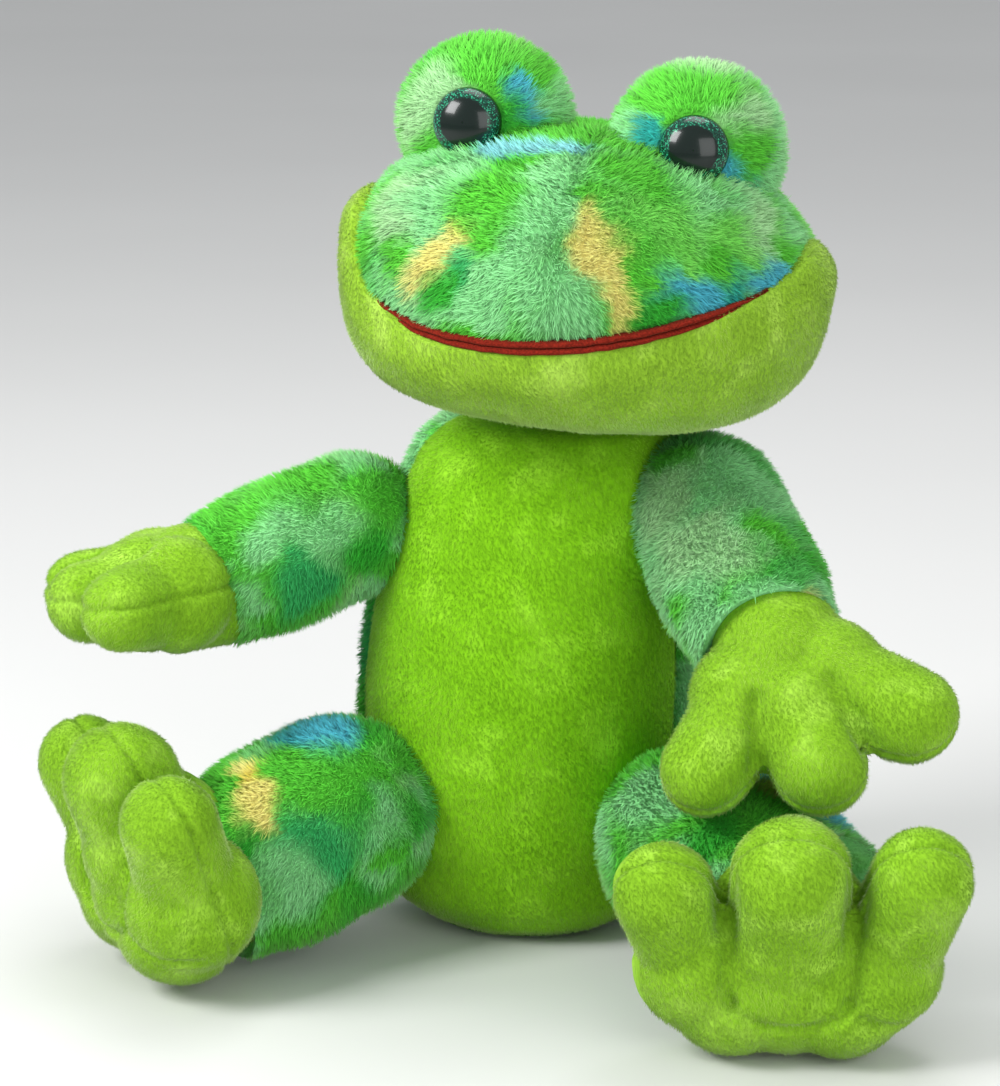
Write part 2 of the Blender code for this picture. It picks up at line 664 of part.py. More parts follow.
# ---- limbs ----------------------------------------------------------------------------
def limb_profile(radii, length, inset, setback):
    """(distance along, radius) pairs from the rounded root to the end, less an inset."""
    root, thick, end = radii
    rows = [(-(root - inset) * math.cos(math.radians(a)), (root - inset) * math.sin(math.radians(a)))
            for a in (25, 50, 75)]
    rows += [(length * 0.30, (root + thick) / 2 - inset + 0.0015), (length * 0.60, thick - inset),
             (length - setback, end - inset)]
    return rows


def build_limb(name):
    """A fur sleeve, closed and rounded at the body, and its filling."""
    limb = LIMBS[name]
    start = pivot(name, limb["from"])
    end = Vector(limb["to"])
    along, side, up = limb_frame(start, end)
    length = (end - start).length
    root = limb["radii"][0]
    rings = [round_ring(start + along * d, side, up, r)
             for d, r in limb_profile(limb["radii"], length, 0.0, CUFF_SETBACK)]
    cover = loft(name + "_cover", rings, caps=(True, False))
    thicken(add_piece(name + "_cover", cover, "fur", name), CLOTH)
    rows = limb_profile(limb["radii"], length, FILL_INSET, CUFF_SETBACK + 0.0010)
    d, r = rows[-1]
    rows += [(d + (length - FILL_SETBACK - d) * 0.7, r * 0.62), (length - FILL_SETBACK, r * 0.2)]
    rings = [round_ring(start + along * d, side, up, r) for d, r in rows]
    add_piece(name + "_filling", loft(name + "_filling", rings), "fill", name)


def blob(name, balls):
    """One closed skin round a group of overlapping balls."""
    bm = bmesh.new()
    for centre, radius in balls:
        bmesh.ops.create_uvsphere(bm, u_segments=14, v_segments=9, radius=radius,
                                  matrix=Matrix.Translation(centre))
    rough = bpy.data.objects.new(name + "_balls", mesh_from(bm, name + "_balls"))
    CUTTERS.objects.link(rough)
    remesh = rough.modifiers.new("skin", "REMESH")
    remesh.mode = "VOXEL"
    remesh.voxel_size = PAW_VOXEL
    smooth = rough.modifiers.new("smooth", "SMOOTH")
    smooth.factor = 0.5
    smooth.iterations = 2
    thin = rough.modifiers.new("thin", "DECIMATE")
    thin.ratio = PAW_DECIMATE
    view = bpy.context.evaluated_depsgraph_get()
    skin = bmesh.new()
    skin.from_mesh(rough.evaluated_get(view).to_mesh())
    bpy.data.objects.remove(rough, do_unlink=True)
    return skin


def paw_frame(along, across):
    along = Vector(along).normalized()
    across = Vector(across)
    across = (across - along * across.dot(along)).normalized()
    return along, across, across.cross(along)


def hand_balls(side, wrist, shrink):
    along, across, up = paw_frame(HAND_AIM[side]["along"], HAND_AIM[side]["across"])
    balls = [(wrist + along * a + across * c + up * u, r - shrink) for a, c, u, r in HAND_BALLS]
    start, spread = FINGER_ROOT
    for c, a, radius in HAND_FINGERS:
        root = wrist + along * start + across * c * spread
        tip = wrist + along * a + across * c
        balls += [(root.lerp(tip, t), radius - shrink) for t in (0.0, 0.33, 0.66, 1.0)]
    return balls


def foot_balls(side, ankle, shrink):
    """Heel, instep and toes; the toes stand up, and lean the way the sole faces."""
    facing = Vector(FOOT_AIM[side]).normalized()
    across = Vector((0, 0, 1)).cross(facing).normalized()
    lean = math.radians(FOOT_LEAN[side])
    up = Vector((0, 0, 1)) * math.cos(lean) + facing * math.sin(lean)
    balls = [(ankle + facing * a + across * c + Vector((0, 0, u)), r - shrink) for a, c, u, r in FOOT_BALLS]
    start, spread = TOE_ROOT
    for c, u, radius in FOOT_TOES:
        root = ankle + facing * 0.020 + across * c * spread + up * start
        tip = ankle + facing * 0.020 + across * c + up * u
        balls += [(root.lerp(tip, t), radius - shrink) for t in (0.0, 0.33, 0.66, 1.0)]
    return balls


def build_paw(limb, paw, maker):
    """A fleece paw, open at its seam to the limb, and its filling."""
    side = limb[-1]
    name = paw + "_" + side
    wrist = pivot(name, LIMBS[limb]["to"])
    balls = maker(side, wrist, 0.0)
    skin = blob(name, balls)
    limb_along = (wrist - Vector(LIMBS[limb]["from"])).normalized()
    slice_off(skin, wrist + limb_along * CUFF_SETBACK, -limb_along)
    bmesh.ops.recalc_face_normals(skin, faces=skin.faces)
    thicken(add_piece(name + "_cover", finish_mesh(skin, name + "_cover"), "fleece", name), CLOTH * 0.8)
    core = blob(name, maker(side, wrist, PAW_SHRINK))
    slice_off(core, wrist + limb_along * (CUFF_SETBACK + 0.001), -limb_along, fill=True)
    add_piece(name + "_filling", finish_mesh(core, name + "_filling"), "fill", name)


# ---- assembly -------------------------------------------------------------------------
build_torso_covers()
build_seat()
build_belly_filling()
build_sleeve()
build_opening_binding()

pivot("collar", (*NECK, COLLAR_Z[0]))
pivot("neck", (*NECK, COLLAR_Z[1]))
pivot("head", (MOUTH[0], HINGE_Y, MOUTH[1]))
pivot("jaw", (MOUTH[0], HINGE_Y, MOUTH[1]))
build_wall("collar", "fleece", "collar", *COLLAR_Z)
build_wall("neck_sleeve", "lining", "neck", *NECK_Z, NOD_SLOPES)
build_mouth_fold()
build_head_covers()
build_head_fillings()
build_mouth()
build_pocket("finger_pocket", "head", FINGER_POCKET)
build_pocket("thumb_pocket", "jaw", THUMB_POCKET)
head_seat = head_cutter()
for eye_side in ("r", "l"):
    build_eye(eye_side, head_seat)
for limb_name in LIMBS:
    build_limb(limb_name)
for limb_name, paw_name, paw_maker in (("arm_r", "hand", hand_balls), ("arm_l", "hand", hand_balls),
                                       ("leg_r", "foot", foot_balls), ("leg_l", "foot", foot_balls)):
    build_paw(limb_name, paw_name, paw_maker)
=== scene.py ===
"""Looks of the frog hand puppet: fur, fleece, felt and eyes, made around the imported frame.

The frog faces -Y, +X is its left side and +Z is up, in metres, as in the frame. Fur is a skin
with fine tapered strands standing on it; fleece is a skin with a very short nap.
"""
import json
import math

import bmesh
import bpy
import numpy as np
from mathutils import Matrix, Vector


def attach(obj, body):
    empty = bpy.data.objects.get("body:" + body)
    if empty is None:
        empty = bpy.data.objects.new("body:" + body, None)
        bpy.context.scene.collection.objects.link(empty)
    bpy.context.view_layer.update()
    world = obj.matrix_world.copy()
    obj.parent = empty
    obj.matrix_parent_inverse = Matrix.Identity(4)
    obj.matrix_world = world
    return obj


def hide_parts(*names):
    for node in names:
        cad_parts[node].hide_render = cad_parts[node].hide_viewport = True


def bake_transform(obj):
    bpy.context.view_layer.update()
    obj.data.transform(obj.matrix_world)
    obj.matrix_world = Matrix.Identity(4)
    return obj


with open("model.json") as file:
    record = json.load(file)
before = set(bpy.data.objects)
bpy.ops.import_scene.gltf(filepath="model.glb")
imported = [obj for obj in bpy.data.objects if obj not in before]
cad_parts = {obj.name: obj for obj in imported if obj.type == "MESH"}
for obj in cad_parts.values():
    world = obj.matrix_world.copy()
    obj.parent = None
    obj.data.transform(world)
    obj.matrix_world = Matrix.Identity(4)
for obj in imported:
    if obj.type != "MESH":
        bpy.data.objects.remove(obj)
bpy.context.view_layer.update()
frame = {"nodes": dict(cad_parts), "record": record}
JOINTS = {joint["name"]: joint for joint in frame["record"]["behaviour"]["joints"]}

UP = np.array([0.0, 0.0, 1.0])
LEVEL = np.array([1.0, 1.0, 0.0])       # times a point, this leaves only its level part

# ---- camera ---------------------------------------------------------------------------
AIM = (-0.0094, 0.0, 0.1427)
CAMERA_AZIMUTH = 10.0
CAMERA_ELEVATION = 14.0
CAMERA_DISTANCE = 1.3
FRAME_HEIGHT = 0.4018           # height of the picture at the aim point

# ---- piles ----------------------------------------------------------------------------
FUR_SKIN = 0.0014               # the fur's undercoat stands this far off the cloth
FUR_LENGTH = 0.0042
FUR_WIDTH = 0.00025             # radius of a strand's root
FLEECE_SKIN = 0.0008
NAP_LENGTH = 0.0015
NAP_WIDTH = 0.00014
SEEDS = {"eye_r": 31, "eye_l": 32, "arm_r": 81, "arm_l": 84, "leg_r": 87, "leg_l": 90,
         "hand_r": 101, "hand_l": 102, "foot_r": 103, "foot_l": 104}
FUR_SPACING = {"head": 0.00089, "mound": 0.00084, "back": 0.00096, "neck": 0.0012, "limb": 0.00090}
NAP_SPACING = {"jaw": 0.00085, "belly": 0.00088, "paw": 0.00085}
# How stuffing pushes each skin in and out: amount, size of the bumps, seed.
STUFFING = {"head": (0.0010, 0.022, 4), "jaw": (0.0007, 0.020, 8), "belly": (0.0007, 0.024, 15),
            "limb": (0.0013, 0.021, 30), "paw": (0.0006, 0.016, 35)}
UNDERCOAT_PAINTED_SHADE = 0.72               # painted shade: how much darker the undercoat is painted than its fur, for the shade between the strands

# ---- head: within a few millimetres of the CAD, and fuller at the chin and cheeks ------
HEAD = np.array([0.0245, -0.018, 0.244])
HEAD_ROLL = math.radians(6.0)
JAW_RADII = (0.0863, 0.0860)    # half width and half depth
TOP_RADII = (0.0835, 0.0830)
HEAD_UP = 0.053                 # from the head's middle to its crown, and to its chin
HEAD_DOWN = 0.0440
HEAD_TAPER = 0.85
JAW_TAPER = 0.50                # the chin is squarer than the crown
MOUTH = (0.0245, 0.2365, 0.055, 2.19)       # centre x, height, slope, curvature
MOUTH_CORNER = (0.034, 4.3)     # past this distance the frog's right corner turns up more steeply
LIP = 0.0024                    # from the line of the mouth to the edge of the fur or fleece
HINGE_Y = -0.005
MOUTH_MIDDLE = 3.0              # azimuth of the middle of the mouth, degrees
MOUTH_HALF = 53.0               # from there to each corner, degrees
CHEEK_TOP = 28.0                # latitude that the cheek's fleece reaches, degrees
NAPE = (92.0, 108.0)            # azimuths over which the cheeks' fleece gives way to the nape's fur
JAW_REACH = 106.0               # azimuth that the jaw's fleece reaches on each side
LIP_ROLL = (0.0026, 0.00115)    # half depth and half height of one half of the felt edge
LIP_APART = 0.00105             # from the line of the mouth to the middle of either half
FELT_FACES = (0.00035, 0.00125)             # both faces of the felt, from the line of the mouth
UNDERSIDE = (0.2085, 0.35)      # underside of the back of the head: height at y = 0, slope
ROLL = np.array([[math.cos(HEAD_ROLL), 0.0, math.sin(HEAD_ROLL)], [0.0, 1.0, 0.0],
                 [-math.sin(HEAD_ROLL), 0.0, math.cos(HEAD_ROLL)]])

# ---- eyes, about 4 mm lower than in the CAD -------------------------------------------
MOUND_RADIUS = 0.0285
MOUND_AT = (0.0380, 0.008, 0.0517)
MOUND_SHIFT = -0.0048
EYE_TURN = {"r": -3.0, "l": 5.0}
EYE_TILT = 6.5
EYE_RADIUS = 0.0122
EYE_RISE = 0.0074
PUPIL = 0.70                    # the pupil's radius as a part of the eye's
MOUND_MINT = 0.55               # how much mint the dye has, as in LIMB_MINT

# ---- torso: height, half width, half depth, centre x, centre y ------------------------
TORSO = np.array([
    (0.0006, 0.031, 0.0280, 0.0010, 0.000),
    (0.0035, 0.0375, 0.0345, 0.0010, 0.000),
    (0.0100, 0.0475, 0.0410, 0.0000, 0.000),
    (0.0300, 0.0555, 0.0480, 0.0000, 0.000),
    (0.0600, 0.0590, 0.0510, 0.0000, 0.000),
    (0.0950, 0.0600, 0.0510, 0.0010, 0.000),
    (0.1300, 0.0570, 0.0470, 0.0030, 0.001),
    (0.1550, 0.0545, 0.0440, 0.0060, 0.004),
    (0.1730, 0.0510, 0.0410, 0.0085, 0.007),
    (0.1830, 0.0465, 0.0370, 0.0105, 0.009),
    (0.1900, 0.0390, 0.0320, 0.0130, 0.011),
    (0.1940, 0.0290, 0.0240, 0.0155, 0.013),
])
BELLY_ARC = 76.0                # degrees from the front to the belly panel's edge, on each side
OPENING_ARC = 42.0              # degrees from the middle of the back to the opening's edge
OPENING_Z = (0.024, 0.082)
NECK = (0.016, 0.014)
NECK_HALF = (0.0335, 0.0285)    # half width and half depth of the neck
NECK_Z = (0.180, 0.231)
TAPE = (0.0016, 0.0034)         # half thickness and half width of the opening's tape
SEAT = (0.0345, 0.0305)         # half width and half depth of the panel underneath

# ---- limbs: body joint, paw joint, radii at the root, the thick part and the cuff ------
LIMBS = {
    "arm_r": ("arm_r_swing", "hand_r_flex", (0.0238, 0.0264, 0.0228)),
    "arm_l": ("arm_l_swing", "hand_l_flex", (0.0250, 0.0275, 0.0245)),
    "leg_r": ("leg_r_swing", "foot_r_flex", (0.0330, 0.0350, 0.0310)),
    "leg_l": ("leg_l_swing", "foot_l_flex", (0.0320, 0.0355, 0.0320)),
}
# The plush sits off the line between a limb's two joints: at the root, then at the cuff.
LIMB_SHIFT = {
    "arm_r": ((0.0070, 0.0, 0.0015), (0.0, 0.0, -0.0015)),
    "arm_l": ((-0.0090, 0.0030, 0.0060), (-0.0030, 0.0, 0.0)),
    "leg_r": ((0.0, 0.0, 0.0160), (0.0, 0.0, 0.0010)),
    "leg_l": ((0.0090, 0.0, 0.0130), (0.0060, 0.0, 0.0090)),
}
CUFF_REACH = {"arm": 0.0035, "leg": 0.0065}     # the fur reaches this far past the paw's joint
LIMB_MINT = {"arm_r": 0.25, "arm_l": 1.0, "leg_r": 0.30, "leg_l": 0.45}     # mint in the dye
PAW_OF = {"arm_r": "hand_r", "arm_l": "hand_l", "leg_r": "foot_r", "leg_l": "foot_l"}

# ---- paws -----------------------------------------------------------------------------
# A palm's balls are (along, across, radius); its fingertips are (across, along, radius).
HAND_BALLS = [(0.002, 0.000, 0.0228), (0.010, 0.000, 0.0230), (0.028, 0.000, 0.0212),
              (0.020, -0.014, 0.0210), (0.020, 0.014, 0.0210)]
HAND_FINGERS = {
    "r": [(-0.027, 0.045, 0.0142), (0.002, 0.050, 0.0146), (0.031, 0.044, 0.0146)],
    "l": [(-0.035, 0.043, 0.0156), (0.003, 0.052, 0.0166), (0.0375, 0.041, 0.0164)],
}
PAW_SHIFT = {"hand_r": (0.0, 0.0, -0.0030), "hand_l": (0.0, 0.0, 0.0),
             "foot_r": (-0.0040, 0.0, 0.0010), "foot_l": (0.0, 0.0, 0.0)}
FINGER_ROOT = (0.026, 0.45)     # a finger starts this far along, and at this part of its tip's across
# A sole's balls are (facing, across, height, radius); its toes' tips are (across, up, radius).
FOOT_BALLS = [(0.003, 0.000, -0.001, 0.0290), (0.015, 0.000, -0.003, 0.0300),
              (0.021, 0.000, 0.014, 0.0275), (0.020, -0.028, 0.001, 0.0250),
              (0.020, 0.028, 0.001, 0.0250), (0.020, -0.018, -0.009, 0.0235),
              (0.020, 0.018, -0.009, 0.0235)]
FOOT_TOES = {
    "r": [(-0.040, 0.037, 0.0172), (0.000, 0.042, 0.0206), (0.041, 0.037, 0.0172)],
    "l": [(-0.042, 0.034, 0.0172), (0.000, 0.042, 0.0206), (0.043, 0.042, 0.0172)],
}
TOE_ROOT = (0.004, 0.78)        # a toe starts this far up, and at this part of its tip's across
TOE_FORWARD = 0.020
FOOT_LEAN = {"r": 20.0, "l": 28.0}
HAND_AIM = {
    "r": ((-0.86, -0.50, -0.05), (0.45, -0.82, 0.10)),
    "l": ((0.30, -0.62, -0.66), (0.95, 0.13, 0.16)),
}
FOOT_AIM = {"r": (-0.80, -0.60, 0.0), "l": (0.13, -0.99, 0.0)}
# Lines of (across, up) places where the cloth is pressed in.
TOE_GAPS = [[(-0.0225, 0.055), (-0.0200, 0.006)], [(0.0225, 0.055), (0.0200, 0.006)]]
SOLE_CREASES = [[(-0.019, 0.003), (-0.008, -0.004), (0.008, -0.004), (0.020, 0.003)],
                [(0.024, 0.000), (0.036, -0.008), (0.050, -0.013)]]
FINGER_GAPS = [[(-0.0215, 0.064), (-0.0130, 0.030)], [(0.0235, 0.064), (0.0140, 0.030)]]
# Depth and width of each kind of fold.
FINGER_FOLD = (0.0034, 0.0030)
TOE_FOLD = (0.0036, 0.0030)
SOLE_FOLD = (0.0024, 0.0020)
SEAM_FOLD = (0.0016, 0.0014)
PAW_VOXEL = 0.0014

# ---- spots of dye, sizes in mm, the later ones over the earlier ------------------------
# azimuth, latitude, size, dye
HEAD_SPOTS = [
    (-37, 6, 8, "yellow"), (-35, 12, 9, "yellow"), (-32, 19, 8, "yellow"), (-28, 26, 7, "yellow"),
    (8, 35, 11, "yellow"), (11, 28, 11, "yellow"), (14, 19, 9, "yellow"), (17, 11, 7, "yellow"),
    (18, 4, 7, "yellow"), (31, 17, 13, "blue"), (38, 15, 12, "blue"), (46, 18, 8, "teal"),
    (57, 19, 11, "blue"), (66, 20, 9, "blue"), (26, 6, 10, "deep"), (22, 20, 8, "green"),
    (4, 5, 15, "mint"), (1, 14, 13, "mint"), (-9, 8, 10, "mint"), (-13, 20, 12, "mint"),
    (-20, 27, 10, "green"), (-8, 32, 11, "mint"), (-24, 12, 8, "emerald"), (-56, 33, 16, "pale"),
    (-46, 30, 13, "mint"), (-50, 20, 12, "pale"), (-44, 11, 9, "green"), (-60, 12, 12, "green"),
    (-26, 42, 18, "green"), (-28, 4, 9, "deep"), (-44, 62, 10, "sky"), (-30, 67, 10, "sky"),
    (-12, 72, 9, "sky"), (26, 44, 20, "fresh"), (23, 62, 18, "green"), (50, 35, 13, "fresh"),
    (34, 28, 9, "fresh"), (64, 38, 14, "pale"), (70, 29, 10, "green"), (42, 26, 8, "green"),
    (84, 34, 12, "mint"),
]
# direction from the mound's centre, size, dye
MOUND_SPOTS = {
    "r": [
        ((-0.5, -0.75, 0.4), 15, "pale"), ((-0.75, -0.6, 0.0), 12, "pale"),
        ((0.1, -0.7, 0.7), 12, "green"), ((0.35, -0.75, 0.55), 9, "green"),
        ((0.45, -0.7, 0.60), 6, "teal"), ((0.58, -0.68, 0.44), 7, "blue"),
        ((0.72, -0.68, 0.25), 7, "blue"), ((0.86, -0.4, 0.3), 9, "mint"), ((0.45, -0.8, 0.2), 8, "deep"),
    ],
    "l": [
        ((-0.14, -0.5, 0.85), 16, "green"), ((0.7, -0.55, 0.5), 13, "pale"),
        ((0.2, -0.6, 0.75), 13, "green"), ((0.5, -0.8, -0.3), 9, "teal"),
        ((0.35, -0.9, -0.35), 10, "blue"), ((0.65, -0.7, -0.35), 9, "blue"),
        ((-0.52, -0.81, 0.2), 9, "teal"), ((0.75, -0.6, 0.0), 10, "green"),
        ((-0.4, -0.6, 0.7), 9, "green"), ((0.1, 0.0, 1.0), 12, "pale"),
    ],
}
# angle round the torso, height, size, dye
TORSO_SPOTS = [
    (-80, 0.060, 22, "deep"), (-85, 0.105, 20, "emerald"), (-78, 0.165, 14, "mint"),
    (88, 0.168, 18, "mint"), (82, 0.180, 12, "emerald"), (130, 0.150, 24, "mint"),
    (-130, 0.150, 26, "green"), (176, 0.163, 13, "yellow"), (190, 0.150, 11, "ochre"),
    (165, 0.110, 18, "teal"), (-150, 0.105, 20, "mint"), (120, 0.060, 18, "blue"),
    (-115, 0.050, 16, "yellow"), (180, 0.100, 14, "pale"), (-60, 0.03, 18, "deep"),
    (-95, 0.02, 15, "teal"),
]
# part of the way along the limb, angle round it, size, dye
LIMB_SPOTS = {
    "arm_r": [
        (0.35, 97, 18, "green"), (0.35, 165, 15, "mint"), (-0.1, 150, 18, "green"),
        (0.9, 120, 13, "green"), (0.6, -165, 14, "emerald"), (1.0, -175, 9, "mint"),
        (0.75, 150, 11, "mint"), (0.15, -170, 14, "deep"),
    ],
    "arm_l": [
        (0.5, 45, 17, "pale"), (0.0, 50, 10, "green"), (0.65, 100, 10, "green"), (1.0, 75, 11, "mint"),
        (1.1, 118, 9, "yellow"), (0.9, 12, 12, "mint"), (0.35, 65, 12, "mint"), (0.2, 105, 13, "mint"),
        (0.75, 0, 8, "green"), (0.2, 30, 13, "pale"), (0.7, 60, 14, "pale"),
    ],
    "leg_r": [
        (0.66, 92, 8, "yellow"), (0.70, 106, 8, "ochre"), (0.73, 120, 9, "yellow"),
        (0.76, 138, 10, "yellow"), (0.5, 168, 18, "emerald"), (0.1, 85, 15, "teal"),
        (0.0, 100, 15, "blue"), (0.2, 130, 15, "green"), (1.0, 150, 11, "deep"), (0.75, 180, 14, "mint"),
        (0.4, 110, 13, "green"),
    ],
    "leg_l": [
        (0.25, 56, 15, "mint"), (0.7, 42, 13, "deep"), (0.42, 84, 10, "yellow"),
        (0.62, 104, 11, "yellow"), (0.40, 104, 9, "blue"), (0.75, 128, 13, "blue"),
        (0.95, 61, 10, "green"), (0.1, 40, 13, "mint"),
    ],
}

# ---- stage ----------------------------------------------------------------------------
FLOOR_SIZE = 120.0
WORLD_LIGHT = 0.62
# name, place, size and watts
LIGHTS = [("key", (-1.0, -0.85, 1.15), 0.7, 26.5), ("fill", (0.9, -1.2, 0.6), 1.0, 9.0),
          ("top", (0.1, 0.3, 1.5), 0.9, 10.0)]


# ---- colours --------------------------------------------------------------------------
def paint(red, green, blue):
    """A colour given as it looks on a screen, 0 to 255, turned into the renderer's values."""
    shown = np.array([red, green, blue]) / 255.0
    return np.where(shown <= 0.04045, shown / 12.92, ((shown + 0.055) / 1.055) ** 2.4)


DYES = {
    "mint": paint(148, 234, 152), "pale": paint(172, 232, 160), "green": paint(96, 212, 60),
    "deep": paint(60, 188, 56), "emerald": paint(62, 190, 104), "yellow": paint(255, 238, 134),
    "ochre": paint(232, 206, 84), "teal": paint(44, 174, 164), "blue": paint(84, 196, 218),
    "sky": paint(140, 222, 226), "fresh": paint(126, 230, 92),
}
# Each fleece's lighter colour is a painted highlight, scattered over it in random patches.
LIME = paint(119, 181, 22)
LIME_HIGHLIGHT = paint(148, 208, 48)
JAW_LIME = paint(137, 181, 48)
JAW_HIGHLIGHT = paint(172, 211, 86)
PAW_LIME = paint(128, 178, 38)
PAW_HIGHLIGHT = paint(164, 210, 76)
FELT = paint(122, 32, 20)


# ---- number helpers -------------------------------------------------------------------
def unit(vectors):
    length = np.linalg.norm(vectors, axis=-1, keepdims=True)
    return vectors / np.maximum(length, 1e-9)


def mix(a, b, amount):
    """Between two colours or points, with one amount for each."""
    return mix_numbers(a, b, np.asarray(amount)[..., None])


def mix_numbers(a, b, amount):
    return a * (1.0 - amount) + b * amount


def full_turn(count):
    """Angles evenly round a circle, in radians."""
    return np.arange(count) * 2.0 * math.pi / count


def ramp(value, low, high):
    """0 below low and 1 above high, with a smooth rise between them."""
    t = np.clip((value - low) / (high - low), 0.0, 1.0)
    return t * t * (3.0 - 2.0 * t)


def bell(x, width, y=0.0, height=1.0):
    """1 in the middle, falling smoothly to nothing about two widths away."""
    return np.exp(-((x / width) ** 2) - (y / height) ** 2)


LATTICE = np.random.default_rng(7).random((32, 32, 32))


def noise(points, size, seed=0):
    """Smooth noise from 0 to 1, with features of about that size in metres."""
    place = points / size + seed * 7.31
    cell = np.floor(place).astype(int)
    part = place - cell
    part = part * part * (3.0 - 2.0 * part)
    total = np.zeros(len(points))
    for corner in np.ndindex(2, 2, 2):
        weight = np.prod(np.where(corner, part, 1.0 - part), axis=1)
        index = (cell + corner) % 32
        total += weight * LATTICE[index[:, 0], index[:, 1], index[:, 2]]
    return total


def cloudy(points, size, seed=0):
    """Noise with two finer layers added."""
    return (noise(points, size, seed) * 0.6 + noise(points, size / 2.1, seed + 3) * 0.28
            + noise(points, size / 4.4, seed + 6) * 0.12)


def smooth_table(table, at):
    """Rows of a table read at places in its first column, along a smooth curve."""
    keys = table[:, 0]
    slopes = np.gradient(table, keys, axis=0)
    i = np.clip(np.searchsorted(keys, at) - 1, 0, len(keys) - 2)
    span = keys[i + 1] - keys[i]
    t = np.clip((at - keys[i]) / span, 0.0, 1.0)[:, None]
    span = span[:, None]
    return ((2 * t**3 - 3 * t**2 + 1) * table[i] + (t**3 - 2 * t**2 + t) * span * slopes[i]
            + (3 * t**2 - 2 * t**3) * table[i + 1] + (t**3 - t**2) * span * slopes[i + 1])


# ---- mesh helpers ---------------------------------------------------------------------
def link(name, mesh, material):
    piece = bpy.data.objects.new(name, mesh)
    bpy.context.scene.collection.objects.link(piece)
    mesh.materials.append(material)
    return piece


def store(mesh, name, kind, field, values):
    """Keep values on a mesh's points under a name, for its material to read."""
    attribute = mesh.attributes.new(name, kind, "POINT")
    attribute.data.foreach_set(field, np.ascontiguousarray(values, dtype=np.float32).ravel())


def keep_rest(mesh, points):
    store(mesh, "rest", "FLOAT_VECTOR", "vector", points)


# The colours kept as dye carry painted shade and painted highlights along with the dye.
def keep_dye_with_painted_light(mesh, colours):
    store(mesh, "dye", "FLOAT_COLOR", "color", np.column_stack([colours, np.ones(len(colours))]))


def grid_quads(rows, columns, wrap):
    """Faces of a grid of points; wrap joins its last column to its first."""
    i, j = np.meshgrid(np.arange(rows - 1), np.arange(columns if wrap else columns - 1), indexing="ij")
    k = (j + 1) % columns
    quads = np.stack([i * columns + j, i * columns + k, (i + 1) * columns + k, (i + 1) * columns + j], -1)
    return quads.reshape(-1, 4)


def facing_out(points, quads, centre):
    """The same faces, turned over if most of them look towards the centre."""
    a, b, c = points[quads[:, 0]], points[quads[:, 1]], points[quads[:, 2]]
    normals = np.cross(b - a, c - a)
    if (normals * (a - centre)).sum() < 0:
        return quads[:, ::-1]
    return quads


def surface(name, points, quads, material):
    mesh = bpy.data.meshes.new(name)
    used = np.unique(quads)
    if len(used) < len(points):
        renumber = np.zeros(len(points), dtype=int)
        renumber[used] = np.arange(len(used))
        points = points[used]
        quads = renumber[quads]
    mesh.from_pydata(points.tolist(), [], quads.tolist())
    mesh.shade_smooth()
    keep_rest(mesh, points)
    return link(name, mesh, material)


def point_normals(points, quads):
    a, b, c, d = (points[quads[:, k]] for k in range(4))
    across = np.cross(c - a, d - b)
    normals = np.zeros_like(points)
    for k in range(4):
        for axis in range(3):
            normals[:, axis] += np.bincount(quads[:, k], weights=across[:, axis], minlength=len(points))
    return unit(normals)


def mesh_arrays(mesh):
    """Points and four-sided faces of a mesh; a triangle repeats its last point."""
    points = np.empty(len(mesh.vertices) * 3, dtype=np.float32)
    mesh.vertices.foreach_get("co", points)
    quads = np.array([tuple(p.vertices) if len(p.vertices) == 4 else (*p.vertices, p.vertices[-1])
                      for p in mesh.polygons])
    return points.reshape(-1, 3).astype(float), quads


def scatter(points, quads, spacing, seed):
    """Even random places on a surface about that far apart, with their normals."""
    rng = np.random.default_rng(seed)
    normals = point_normals(points, quads)
    corners = np.concatenate([quads[:, [0, 1, 2]], quads[:, [0, 2, 3]]], axis=1).reshape(-1, 3)
    a, b, c = (points[corners[:, k]] for k in range(3))
    area = np.linalg.norm(np.cross(b - a, c - a), axis=1) / 2
    reach = np.cumsum(area)
    count = int(reach[-1] / spacing**2)
    picks = (np.arange(count) + rng.random(count)) / count * reach[-1]
    chosen = corners[np.minimum(np.searchsorted(reach, picks), len(corners) - 1)]
    u, v = rng.random(count), rng.random(count)
    over = u + v > 1.0
    u[over], v[over] = 1.0 - u[over], 1.0 - v[over]
    weights = np.stack([1.0 - u - v, u, v], axis=1)[:, :, None]
    return (points[chosen] * weights).sum(axis=1), unit((normals[chosen] * weights).sum(axis=1))


def along_surface(direction, normals):
    """The part of a direction that lies in the surface, at unit length."""
    direction = np.broadcast_to(direction, normals.shape)
    return unit(direction - normals * (direction * normals).sum(axis=1, keepdims=True))


def gathered(roots, tips, tuft, gather, rng):
    """Draw the tips of strands that stand in one tuft towards each other."""
    cells = np.floor((roots + rng.normal(size=roots.shape) * tuft * 0.12) / tuft).astype(int)
    _, group, members = np.unique(cells, axis=0, return_inverse=True, return_counts=True)
    group = group.ravel()
    middle = np.stack([np.bincount(group, weights=tips[:, k]) for k in range(3)], axis=1) / members[:, None]
    return tips + (middle[group] - tips) * gather


def strand_mesh(name, points, count):
    """A mesh of three-sided spikes, each with three points at its root and then its tip."""
    first = np.arange(count)[:, None] * 4
    faces = np.stack([first + [0, 1, 3], first + [1, 2, 3], first + [2, 0, 3]], axis=1).reshape(-1)
    mesh = bpy.data.meshes.new(name)
    mesh.vertices.add(count * 4)
    mesh.vertices.foreach_set("co", points.astype(np.float32).ravel())
    mesh.loops.add(count * 9)
    mesh.loops.foreach_set("vertex_index", faces.astype(np.int32))
    mesh.polygons.add(count * 3)
    mesh.polygons.foreach_set("loop_start", np.arange(count * 3, dtype=np.int32) * 3)
    mesh.update(calc_edges=True)
    mesh.shade_smooth()
    return mesh


